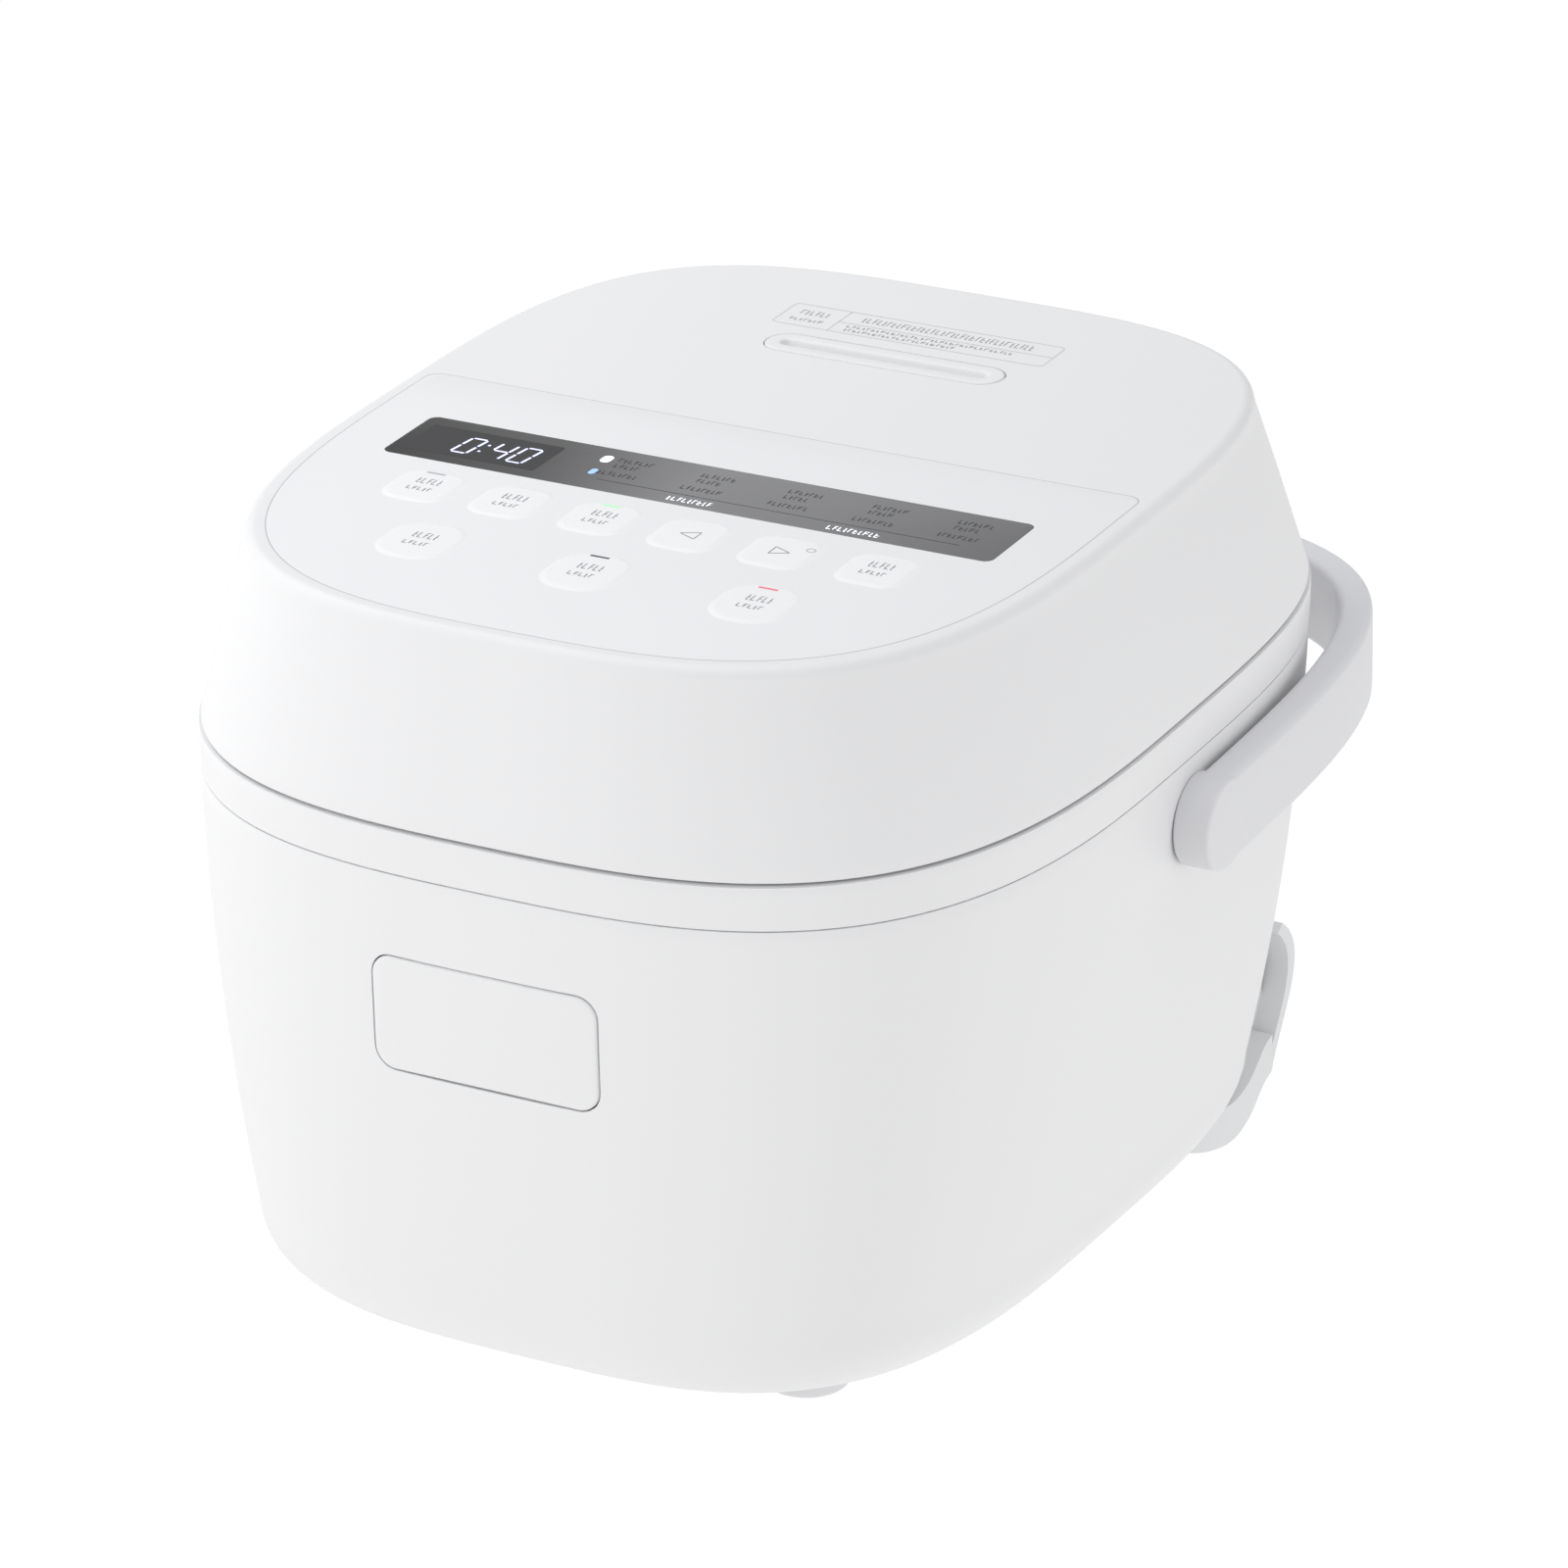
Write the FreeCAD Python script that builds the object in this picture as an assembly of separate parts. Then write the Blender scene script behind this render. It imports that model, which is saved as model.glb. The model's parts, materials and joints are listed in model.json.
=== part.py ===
import FreeCAD, Part

import functools
import math
import os

# Rice cooker, millimetres, +Z up, the front (latch button) faces -Y.
# Everything is designed about the middle of the lid seam; SHIFT_Y then moves it so that the
# origin is under the centre of the whole object, on the surface that it stands on.

V = FreeCAD.Vector
X_AXIS, Y_AXIS, Z_AXIS = V(1, 0, 0), V(0, 1, 0), V(0, 0, 1)

# ---- driving dimensions ---------------------------------------------------------------
SHIFT_Y = -12.0            # seam centre to object centre (the folded handle reaches further back)
TILT = 0.046               # the lid, its seam and the band under it climb this much towards the rear
TILT_DEG = math.degrees(math.atan(TILT))

# Plan outlines: half width, half depth, centre y, roundness of front half and of rear half
SEAM = (120.0, 138.0, 0.0, 3.0, 3.75)
BASE = (104.7, 132.8, 1.6, 3.26, 3.79)
LID_TOP = (105.7, 126.7, -1.6, 3.08, 3.61)

SEAM_Z = 154.8             # heights at y = 0
BAND_Z = 143.2             # lower edge of the band under the seam
LID_TOP_Z = 204.9
BODY_BOTTOM_Z = 4.0
BASE_ROUND_IN = 19.5       # rounding under the body: how far in, how far up
BASE_ROUND_UP = 19.1
SIDE_BULGE = 0.233         # how much fuller the walls are than straight ones
LID_EDGE_R = 3.5
SEAM_GAP = 0.4             # each side of the seam
WALL = 2.5
LID_WALL = 3.0

POT_Y = 4.0                # centre of the pot, and of the round parts under and over it
POT_R = 92.0
POT_WALL = 2.2
POT_BOTTOM_Z = 38.0
POT_CORNER_R = 42.0
POT_FLANGE_R = 101.0
POT_FLANGE_Z = 146.1
DECK_Z = 144.4             # top of the deck round the well mouth
WELL_GAP = 3.0             # between pot and well
WELL_WALL = 1.6

HINGE_Y, HINGE_Z = 133.5, 157.5
HINGE_PIN_R = 1.75
KNUCKLE_R = 3.6
HINGE_GROOVE_R = 6.3
HINGE_HALF = 70.0          # half length of the groove that the lid's rear edge turns in

HANDLE_Y, HANDLE_Z = 8.0, 126.5
HANDLE_OUT = (129.4, 161.9, 4.0)      # half width, reach behind the seam centre, roundness
HANDLE_IN = (120.4, 153.3, 4.3)
HANDLE_R = 12.0            # round ends; the band is twice this tall
HANDLE_TILT_DEG = 3.4
HANDLE_PIN_R = 4.0
RUNNING_FIT = 0.05

LATCH_HALF_X = 31.5
LATCH_Z = (84.3, 115.4)
LATCH_CORNER = 6.0
LATCH_GAP = 0.4
LEVER_Y, LEVER_Z = -112.0, 84.0

PANEL_INSET = 4.2          # from the lid's top edge to the edge of the control panel
PANEL_REAR_Y = 14.2
PANEL_T = 1.0
WINDOW = (85.5, -38.3, -12.4)         # half width, front, rear
KEY_ROWS = {"front": -84.8, "rear": -54.2}
KEY_SIZE = {"rear": (19.0, 20.5, 6.0), "front": (21.0, 24.0, 9.0)}     # width, depth, corner
KEY_X = {
    "rear": {"key_keep_warm": -63.3, "key_taste": -38.6, "key_timer": -13.3,
             "key_down": 11.7, "key_up": 36.7, "key_menu": 63.3},
    "front": {"key_off": -46.2, "key_quick_cook": 0.0, "key_start": 46.2},
}
KEY_GAP = 0.35
KEY_PROUD = 0.4
KEY_TRAVEL = 0.5

VENT_Y = 71.4
VENT_LENGTH = 68.4
VENT_WIDTH = 12.4
FOOT_POINTS = ((-62, -88), (62, -88), (-62, 92), (62, 92))
FOOT_R = 11.0

INLET_X, INLET_Z = -52.0, 66.0
EXHAUST_SLOTS = 10         # slots in the rear wall, 6 mm apart, from EXHAUST_X to the right
EXHAUST_X = 8.0
EXHAUST_Z = (52.0, 80.0)
FAN_AT = (-48.0, 66.0)
FAN_Z = (7.2, 17.2)
GUARD_HALF = 88.0          # half width of the plate at the foot of the rear wall

INNER_LID_Z = 150.0        # underside of the inner lid's rim; its middle is 1.2 mm higher
INNER_LID_R = 93.0
INNER_LID_T = 1.1
GASKET_Z = (148.7, 150.9)
CATCH_FOOT_Z = (148.4, 149.4)


# ---- helpers --------------------------------------------------------------------------
def export(name, shape):
    """Write one sub-part, moved to the object's frame."""
    placed = shape.copy()
    placed.translate(V(0, SHIFT_Y, 0))
    placed.exportStep(f"parts/{name}.step")
    solids = placed.Solids
    state = "ok" if solids and all(s.isValid() for s in solids) else "INVALID"
    print(f"{name:20s} solids {len(solids):2d}  {sum(s.Volume for s in solids) / 1000:9.2f} cm3  {state}")


def lerp(a, b, w):
    return tuple(p * (1 - w) + q * w for p, q in zip(a, b))


def outline(dims, inset, z_of_y, count=72):
    """Closed smooth wire round a rounded-rectangle outline |x/a|^n + |y/b|^n = 1."""
    half_x, half_y, mid_y, n_front, n_rear = dims
    points = []
    for k in range(count):
        angle = 2 * math.pi * k / count
        c, s = math.cos(angle), math.sin(angle)
        n = n_front if s < 0 else n_rear
        r = (abs(c / (half_x - inset)) ** n + abs(s / (half_y - inset)) ** n) ** (-1 / n)
        y = mid_y + r * s
        points.append(V(r * c, y, z_of_y(y)))
    curve = Part.BSplineCurve()
    curve.interpolate(points, PeriodicFlag=True)
    return Part.Wire([curve.toShape()])


def stack(rings):
    """Solid through a stack of outline wires."""
    return Part.makeLoft(rings, True, True)


def level(z):
    return lambda y: z


def tilted(z, share=1.0):
    return lambda y: z + share * TILT * y


@functools.cache
def body_form(inset):
    """The body's outer form, shrunk by inset all round, carried 12 mm above the seam."""
    rings = []
    for step in range(6):
        angle = math.radians(90 - 18 * step)
        drawn_in = BASE_ROUND_IN * (1 - math.cos(angle))
        z = BODY_BOTTOM_Z + inset + (BASE_ROUND_UP - inset) * (1 - math.sin(angle))
        rings.append(outline(BASE, inset + drawn_in, level(z)))
    foot = BODY_BOTTOM_Z + BASE_ROUND_UP
    for step in range(1, 8):
        t = step / 7
        w = t + SIDE_BULGE * 4 * t * (1 - t)
        rings.append(outline(lerp(BASE, SEAM, w), inset, tilted(foot + t * (SEAM_Z - foot), t)))
    rings.append(outline(SEAM, inset, tilted(SEAM_Z + 12)))
    return stack(rings)


def lid_form(inset, drop):
    """The lid's outer form, shrunk by inset all round and by drop at the top, from 1 mm under the seam."""
    shoulder_w = 1 - LID_EDGE_R / (LID_TOP_Z - SEAM_Z)
    rings = [outline(SEAM, inset, tilted(SEAM_Z - 1))]
    rings.append(outline(lerp(SEAM, LID_TOP, 0.5), inset, tilted(SEAM_Z + 0.5 * (LID_TOP_Z - SEAM_Z))))
    for step in range(5):
        angle = math.radians(90 * step / 4)
        z = LID_TOP_Z - drop - LID_EDGE_R * (1 - math.sin(angle))
        drawn_in = 0.8 * LID_EDGE_R * (1 - math.cos(angle))
        rings.append(outline(lerp(SEAM, LID_TOP, shoulder_w), inset + drawn_in, tilted(z)))
    return stack(rings)


def above(z):
    """Everything over the tilted plane that passes through height z at y = 0."""
    block = Part.makeBox(500, 500, 300, V(-250, -250, 0))
    block.rotate(V(0, 0, 0), X_AXIS, TILT_DEG)
    block.translate(V(0, 0, z))
    return block


def below(z):
    block = Part.makeBox(500, 500, 300, V(-250, -250, -300))
    block.rotate(V(0, 0, 0), X_AXIS, TILT_DEG)
    block.translate(V(0, 0, z))
    return block


def box(x, y, z):
    """Box from three (low, high) pairs."""
    return Part.makeBox(x[1] - x[0], y[1] - y[0], z[1] - z[0], V(x[0], y[0], z[0]))


def rounded_plate(size_x, size_y, corner, z, centre=(0, 0)):
    """Upright prism with rounded corners, z = (low, high)."""
    hx, hy = size_x / 2 - corner, size_y / 2 - corner
    plate = box((-hx, hx), (-hy - corner, hy + corner), z)
    plate = plate.fuse(box((-hx - corner, hx + corner), (-hy, hy), z))
    for sx in (-1, 1):
        for sy in (-1, 1):
            plate = plate.fuse(Part.makeCylinder(corner, z[1] - z[0], V(sx * hx, sy * hy, z[0])))
    plate = plate.removeSplitter()
    plate.translate(V(centre[0], centre[1], 0))
    return plate


def rounded_front_plate(half_x, z, corner, y):
    """The same prism standing in the X-Z plane, y = (low, high)."""
    plate = rounded_plate(2 * half_x, z[1] - z[0], corner, (0, y[1] - y[0]))
    plate.rotate(V(0, 0, 0), X_AXIS, 90)
    plate.translate(V(0, y[1], (z[0] + z[1]) / 2))
    return plate


def slot_prism(length, width, z, centre=(0, 0)):
    return rounded_plate(length, width, width / 2 - 0.01, z, centre)


def ring_solid(r_in, r_out, z, centre=(0, 0)):
    at = V(centre[0], centre[1], z[0])
    ring = Part.makeCylinder(r_out, z[1] - z[0], at)
    if r_in > 0:
        ring = ring.cut(Part.makeCylinder(r_in, z[1] - z[0], at))
    return ring


def turned(points, y=POT_Y):
    """Solid of revolution about the upright axis at y; (r, z, "arc", (r, z)) arcs through its second pair."""
    edges = []
    last = V(points[0][0], 0, points[0][1])
    for point in points[1:] + points[:1]:
        here = V(point[0], 0, point[1])
        if len(point) == 4:
            through = V(point[3][0], 0, point[3][1])
            edges.append(Part.Arc(last, through, here).toShape())
        else:
            edges.append(Part.makeLine(last, here))
        last = here
    face = Part.Face(Part.Wire(edges))
    solid = face.revolve(V(0, 0, 0), Z_AXIS, 360)
    solid.translate(V(0, y, 0))
    return solid


def x_cylinder(r, x, y, z):
    return Part.makeCylinder(r, x[1] - x[0], V(x[0], y, z), X_AXIS)


def both_sides(shape):
    """The shape and its mirror image across the middle plane."""
    return [shape, shape.mirror(V(0, 0, 0), X_AXIS)]


def onto_lid(shape):
    """From the lid-top frame (z = 0 on the top face) to its place."""
    placed = shape.copy()
    placed.rotate(V(0, 0, 0), X_AXIS, TILT_DEG)
    placed.translate(V(0, 0, LID_TOP_Z))
    return placed


def coil_spring(radius, wire_r, pitch, height, base):
    """Coil spring standing on base."""
    path = Part.makeHelix(pitch, height, radius)
    section = Part.Wire([Part.makeCircle(wire_r, V(radius, 0, 0), Y_AXIS)])
    spring = Part.Wire(path.Edges).makePipeShell([section], True, True)
    spring.translate(base)
    return spring


# ---- body: outside --------------------------------------------------------------------
def make_body_shell():
    shell = body_form(0).cut(body_form(WALL))
    shell = shell.cut(above(BAND_Z - 0.15))
    shell = shell.cut(stack([outline(BASE, BASE_ROUND_IN + 4, level(z)) for z in (0, 12)]))
    latch_hole = rounded_front_plate(LATCH_HALF_X, LATCH_Z, LATCH_CORNER, (-145, -125))
    shell = shell.cut(latch_hole)
    for bore in both_sides(x_cylinder(HANDLE_PIN_R, (105, 125), HANDLE_Y, HANDLE_Z)):
        shell = shell.cut(bore)
    shell = shell.cut(box((INLET_X - 17, INLET_X + 17), (120, 145), (INLET_Z - 12, INLET_Z + 12)))
    for k in range(EXHAUST_SLOTS):
        x = EXHAUST_X + 6 * k
        shell = shell.cut(rounded_front_plate(1.3, EXHAUST_Z, 1.2, (120, 145)).translated(V(x, 0, 0)))
    return shell


def make_collar_frame():
    """Band under the seam, with the deck round the well mouth and the groove for the lid hinge."""
    band = body_form(0).cut(body_form(WALL + 0.5))
    band = band.common(above(BAND_Z + 0.15)).common(below(SEAM_Z - SEAM_GAP))
    skirt = body_form(WALL + 0.3).cut(body_form(WALL + 2.3))
    skirt = skirt.common(above(BAND_Z - 7)).common(below(BAND_Z + 2))
    deck = body_form(WALL + 0.3).common(box((-130, 130), (-145, 145), (DECK_Z - 2.4, DECK_Z)))
    deck = deck.cut(ring_solid(0, POT_R + WELL_GAP + WELL_WALL + 0.6, (DECK_Z - 5, DECK_Z + 5), (0, POT_Y)))
    span = (-HINGE_HALF - 1.6, HINGE_HALF + 1.6)
    trough = x_cylinder(HINGE_GROOVE_R + 1.6, span, HINGE_Y, HINGE_Z)
    trough = trough.fuse(box(span, (HINGE_Y - 8, HINGE_Y - 5), (DECK_Z - 2, HINGE_Z)))
    trough = trough.common(below(SEAM_Z - SEAM_GAP)).common(body_form(1.2))
    frame = band.fuse([skirt, deck, trough])
    frame = frame.cut(x_cylinder(HINGE_GROOVE_R, (-HINGE_HALF, HINGE_HALF), HINGE_Y, HINGE_Z))
    for lug_span in ((20, 36), (54, 66)):
        for lug in both_sides(body_lug(lug_span)):
            frame = frame.fuse(lug)
    frame = frame.cut(x_cylinder(HINGE_PIN_R, (-HINGE_HALF, HINGE_HALF), HINGE_Y, HINGE_Z))
    return frame.cut(box((-20, 20), (-131, -105), (DECK_Z - 6, DECK_Z + 3)))


def body_lug(span):
    lug = x_cylinder(KNUCKLE_R, span, HINGE_Y, HINGE_Z)
    return lug.fuse(box(span, (HINGE_Y - 2.2, HINGE_Y + 2.2), (HINGE_Z - HINGE_GROOVE_R - 0.6, HINGE_Z)))


def make_bottom_cover():
    """Flat cover closing the body from below, with the fan's air slots."""
    cover = stack([outline(BASE, BASE_ROUND_IN + 4.3, level(z)) for z in (BODY_BOTTOM_Z, 6.4)])
    for k in range(9):
        y = FAN_AT[1] - 24 + 6 * k
        half = math.sqrt(27.0 ** 2 - (y - FAN_AT[1]) ** 2)
        cover = cover.cut(slot_prism(2 * half, 2.6, (2, 8), (FAN_AT[0], y)))
    return cover


def bow(points):
    """Smooth curve through (y, z) points."""
    curve = Part.BSplineCurve()
    curve.interpolate([V(0, y, z) for y, z in points])
    return curve


def bow_plan(points):
    """Smooth curve in a level plane through the given (x, y) points."""
    curve = Part.BSplineCurve()
    curve.interpolate([V(x, y, 1.0) for x, y in points])
    return curve


def make_rear_guard():
    """Stand-off at the foot of the rear wall: a block under the rounded corner and a bowed plate."""
    side = bow_plan(((86.0, 73.5), (93.0, 75.5), (96.6, 82.0), (96.8, 92.0), (92.2, 113.0), (88.0, 131.5)))
    edges = [side.toShape()]
    edges.append(Part.makeLine(V(88.0, 131.5, 1.0), V(70.0, 131.5, 1.0)))
    edges.append(Part.makeLine(V(70.0, 131.5, 1.0), V(70.0, 73.5, 1.0)))
    edges.append(Part.makeLine(V(70.0, 73.5, 1.0), V(86.0, 73.5, 1.0)))
    block = Part.Face(Part.Wire(Part.__sortEdges__(edges))).extrude(V(0, 0, 11.0))
    skirt = block.fuse(block.mirror(V(0, 0, 0), X_AXIS))
    skirt = skirt.cut(body_form(-0.3))
    skirt = skirt.cut(box((-76, 76), (60, 118), (0, 13)))
    curve_out = bow(((131.5, 1.0), (138.0, 13.0), (144.5, 27.0), (136.0, 43.0)))
    curve_in = bow(((127.5, 1.0), (134.0, 13.0), (140.3, 27.0), (133.0, 41.0)))
    edges = [curve_out.toShape(), curve_in.toShape()]
    edges.append(Part.makeLine(V(0, 131.5, 1.0), V(0, 127.5, 1.0)))
    edges.append(Part.makeLine(V(0, 136.0, 43.0), V(0, 133.0, 41.0)))
    plate = Part.Face(Part.Wire(Part.__sortEdges__(edges))).extrude(V(2 * GUARD_HALF, 0, 0))
    plate.translate(V(-GUARD_HALF, 0, 0))
    guard = skirt.fuse(plate.cut(body_form(-0.3)))
    for sign in (-1, 1):
        web = box((-1.5, 1.5), (112, 138), (1.0, 36.0)).translated(V(sign * (GUARD_HALF - 8), 0, 0))
        guard = guard.fuse(web.cut(body_form(-0.3)).common(plate_backed(curve_in)))
    return guard.removeSplitter()


def plate_backed(curve_in):
    """Room in front of the guard plate, bounded by the plate's inner face."""
    edges = [curve_in.toShape()]
    edges.append(Part.makeLine(V(0, 127.5, 1.0), V(0, 100, 1.0)))
    edges.append(Part.makeLine(V(0, 100, 1.0), V(0, 100, 41.0)))
    edges.append(Part.makeLine(V(0, 100, 41.0), V(0, 133.0, 41.0)))
    room = Part.Face(Part.Wire(Part.__sortEdges__(edges))).extrude(V(200, 0, 0))
    return room.translated(V(-100, 0.4, 0))


def make_rubber_feet():
    feet = []
    for x, y in FOOT_POINTS:
        foot = Part.makeCylinder(FOOT_R, 4.0, V(x, y, 0))
        edges = [e for e in foot.Edges if e.BoundBox.ZMax < 0.1]
        feet.append(foot.makeFillet(1.2, edges))
    return Part.makeCompound(feet)


def make_inlet_socket():
    """Power inlet: flanged box with a recess for the appliance connector."""
    body = box((INLET_X - 16.5, INLET_X + 16.5), (110, 134.5), (INLET_Z - 11.5, INLET_Z + 11.5))
    flange = rounded_front_plate(19.5, (INLET_Z - 14.5, INLET_Z + 14.5), 3, (126, 137.6))
    flange = flange.translated(V(INLET_X, 0, 0)).cut(body_form(-0.05))
    recess = rounded_front_plate(13.5, (INLET_Z - 8.5, INLET_Z + 8.5), 2.5, (117, 140))
    return body.fuse(flange).cut(recess.translated(V(INLET_X, 0, 0))).removeSplitter()


def make_inlet_pins():
    pins = []
    for dx, dz in ((-7, -2.5), (7, -2.5), (0, 2.0)):
        blade = box((dx - 1, dx + 1), (117, 130), (dz - 2.5, dz + 2.5))
        pins.append(blade.translated(V(INLET_X, 0, INLET_Z)))
    return Part.makeCompound(pins)


# ---- body: handle, latch and hinge -----------------------------------------------------
def band_prism(dims, z):
    half_x, reach, n = dims
    return stack([outline((half_x, reach, 0.0, n, n), 0, level(h)) for h in z])


def make_handle():
    """Bail that lies folded round the rear of the body."""
    z = (HANDLE_Z - HANDLE_R, HANDLE_Z + HANDLE_R)
    bail = band_prism(HANDLE_OUT, z).cut(band_prism(HANDLE_IN, (z[0] - 1, z[1] + 1)))
    bail = bail.common(box((-140, 140), (HANDLE_Y, 180), (z[0] - 2, z[1] + 2)))
    for hub in both_sides(x_cylinder(HANDLE_R, (HANDLE_IN[0], HANDLE_OUT[0] - 0.1), HANDLE_Y, HANDLE_Z)):
        bail = bail.fuse(hub)
    for bore in both_sides(x_cylinder(HANDLE_PIN_R + RUNNING_FIT, (110, 126.2), HANDLE_Y, HANDLE_Z)):
        bail = bail.cut(bore)
    bail.rotate(V(0, HANDLE_Y, HANDLE_Z), X_AXIS, HANDLE_TILT_DEG)
    return bail


def make_handle_pins():
    return Part.makeCompound(both_sides(x_cylinder(HANDLE_PIN_R, (111.0, 125.8), HANDLE_Y, HANDLE_Z)))


def make_handle_washers():
    washer = x_cylinder(9, (112.5, 115.0), HANDLE_Y, HANDLE_Z)
    washer = washer.cut(x_cylinder(HANDLE_PIN_R, (110, 116), HANDLE_Y, HANDLE_Z))
    return Part.makeCompound(both_sides(washer))


def make_latch_button():
    """Front push pad that follows the body's face, with the stem that pushes the lever."""
    z = (LATCH_Z[0] + LATCH_GAP, LATCH_Z[1] - LATCH_GAP)
    pad = rounded_front_plate(LATCH_HALF_X - LATCH_GAP, z, LATCH_CORNER - LATCH_GAP, (-145, -125))
    pad = pad.common(body_form(-0.5)).cut(body_form(3.0))
    stem = box((-5, 5), (-134.5, LEVER_Y - 3.1), (107, 111.5))
    return pad.fuse(stem).removeSplitter()


def make_latch_lever():
    lever = x_cylinder(4.0, (-14, 14), LEVER_Y, LEVER_Z)
    lever = lever.fuse(box((-12, 12), (LEVER_Y - 2.8, LEVER_Y + 0.4), (LEVER_Z, 143.0)))
    lever = lever.fuse(box((-12, 12), (LEVER_Y - 8.6, LEVER_Y - 2.8), (139.6, 143.0)))
    return lever.cut(x_cylinder(2.05, (-20, 20), LEVER_Y, LEVER_Z)).removeSplitter()


def make_lever_bracket():
    """Two cheeks on a cross plate that carry the lever's pin."""
    depth = (LEVER_Y - 6, LEVER_Y + 6)
    bracket = box((-17.5, 17.5), depth, (LEVER_Z - 14, LEVER_Z - 11.5))
    for cheek in both_sides(box((15, 17.5), depth, (LEVER_Z - 12, LEVER_Z + 6))):
        bracket = bracket.fuse(cheek)
    return bracket.cut(x_cylinder(2.0, (-20, 20), LEVER_Y, LEVER_Z)).removeSplitter()


def make_lever_pin():
    return x_cylinder(2.0, (-19, 19), LEVER_Y, LEVER_Z)


def make_hinge_shaft():
    return x_cylinder(HINGE_PIN_R, (-67, 67), HINGE_Y, HINGE_Z)


def make_hinge_spring():
    spring = coil_spring(HINGE_PIN_R + 1.0, 0.5, 1.5, 30, V(0, 0, 0))
    spring.rotate(V(0, 0, 0), Y_AXIS, 90)
    return spring.translated(V(-15, HINGE_Y, HINGE_Z))


# ---- body: inside -----------------------------------------------------------------------
def bowl(r, bottom_z, corner_r, top_z):
    """Outline points of a round-cornered bowl from its axis up to its rim."""
    middle = math.radians(45)
    through = (r - corner_r + corner_r * math.sin(middle), bottom_z + corner_r - corner_r * math.cos(middle))
    return [(r - corner_r, bottom_z), (r, bottom_z + corner_r, "arc", through), (r, top_z)]


def make_inner_pot():
    outer = bowl(POT_R, POT_BOTTOM_Z, POT_CORNER_R, POT_FLANGE_Z)
    rim = [(POT_FLANGE_R, POT_FLANGE_Z), (POT_FLANGE_R, POT_FLANGE_Z + POT_WALL)]
    solid = turned([(0, POT_BOTTOM_Z)] + outer + rim + [(0, POT_FLANGE_Z + POT_WALL)])
    inner = bowl(POT_R - POT_WALL, POT_BOTTOM_Z + POT_WALL, POT_CORNER_R - POT_WALL, POT_FLANGE_Z + 10)
    return solid.cut(turned([(0, POT_BOTTOM_Z + POT_WALL)] + inner + [(0, POT_FLANGE_Z + 10)]))


def make_inner_well():
    """Protective well that the pot hangs in, flanged over the deck."""
    r = POT_R + WELL_GAP
    bottom = POT_BOTTOM_Z - WELL_GAP
    outer = bowl(r + WELL_WALL, bottom - WELL_WALL, POT_CORNER_R + WELL_GAP, DECK_Z)
    rim = [(POT_FLANGE_R + 1.5, DECK_Z), (POT_FLANGE_R + 1.5, POT_FLANGE_Z)]
    solid = turned([(0, bottom - WELL_WALL)] + outer + rim + [(0, POT_FLANGE_Z)])
    inner = bowl(r, bottom, POT_CORNER_R + WELL_GAP - WELL_WALL, POT_FLANGE_Z + 5)
    solid = solid.cut(turned([(0, bottom)] + inner + [(0, POT_FLANGE_Z + 5)]))
    return solid.cut(ring_solid(0, 17.0, (bottom - 5, bottom + 5), (0, POT_Y)))


def make_coil_tray():
    tray = ring_solid(20, 74, (24.0, 26.0), (0, POT_Y))
    for k in range(6):
        arm = box((18, 78), (-3, 3), (22.2, 24.0)).translated(V(0, POT_Y, 0))
        arm.rotate(V(0, POT_Y, 0), Z_AXIS, 60 * k + 30)
        tray = tray.fuse(arm.cut(ring_solid(0, 20, (20, 28), (0, POT_Y))))
    return tray.removeSplitter()


def make_induction_coil():
    """Flat winding in two bands, drawn as its turns of stranded wire."""
    turns = []
    for first, count in ((24.0, 6), (52.0, 5)):
        for k in range(count):
            turns.append(Part.makeTorus(first + 4.0 * k, 1.8, V(0, POT_Y, 28.1), Z_AXIS))
    return Part.makeCompound(turns)


def make_ferrite_bars():
    bars = []
    for k in range(6):
        bar = box((24, 72), (-5, 5), (18.0, 21.9)).translated(V(0, POT_Y, 0))
        bar.rotate(V(0, POT_Y, 0), Z_AXIS, 60 * k + 30)
        bars.append(bar)
    return Part.makeCompound(bars)


def make_sensor_cap():
    """Spring-loaded temperature sensor that presses on the pot's underside."""
    return turned([(0, 37.7), (13.0, 37.7), (14.0, 36.7), (14.0, 33.0), (7.0, 33.0), (7.0, 24.0), (0, 24.0)])


def make_sensor_guide():
    return turned([(7.3, 12.0), (12.0, 12.0), (12.0, 14.0), (8.9, 14.0), (8.9, 29.0), (7.3, 29.0)])


def make_sensor_spring():
    return coil_spring(10.6, 0.5, 3.0, 17.0, V(0, POT_Y, 15.0))


def make_fan_housing():
    frame = rounded_plate(60, 60, 4, FAN_Z, FAN_AT)
    frame = frame.cut(ring_solid(0, 27.5, (FAN_Z[0] + 1.5, FAN_Z[1] + 1), FAN_AT))
    for angle in (45, 135, 225, 315):
        r = 33.0
        at = (FAN_AT[0] + r * math.cos(math.radians(angle)), FAN_AT[1] + r * math.sin(math.radians(angle)))
        frame = frame.cut(ring_solid(0, 2.0, (FAN_Z[0] - 1, FAN_Z[1] + 1), at))
    for k in range(4):
        window = box((9, 26), (-8, 8), (FAN_Z[0] - 1, FAN_Z[0] + 2)).translated(V(FAN_AT[0], FAN_AT[1], 0))
        window.rotate(V(FAN_AT[0], FAN_AT[1], 0), Z_AXIS, 90 * k)
        disc = ring_solid(11, 26, (FAN_Z[0] - 1, FAN_Z[0] + 2), FAN_AT)
        frame = frame.cut(window.common(disc))
    stub = ring_solid(0, 1.5, (FAN_Z[0] + 1.4, FAN_Z[0] + 6.0), FAN_AT)
    return frame.fuse(stub).removeSplitter()


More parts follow.
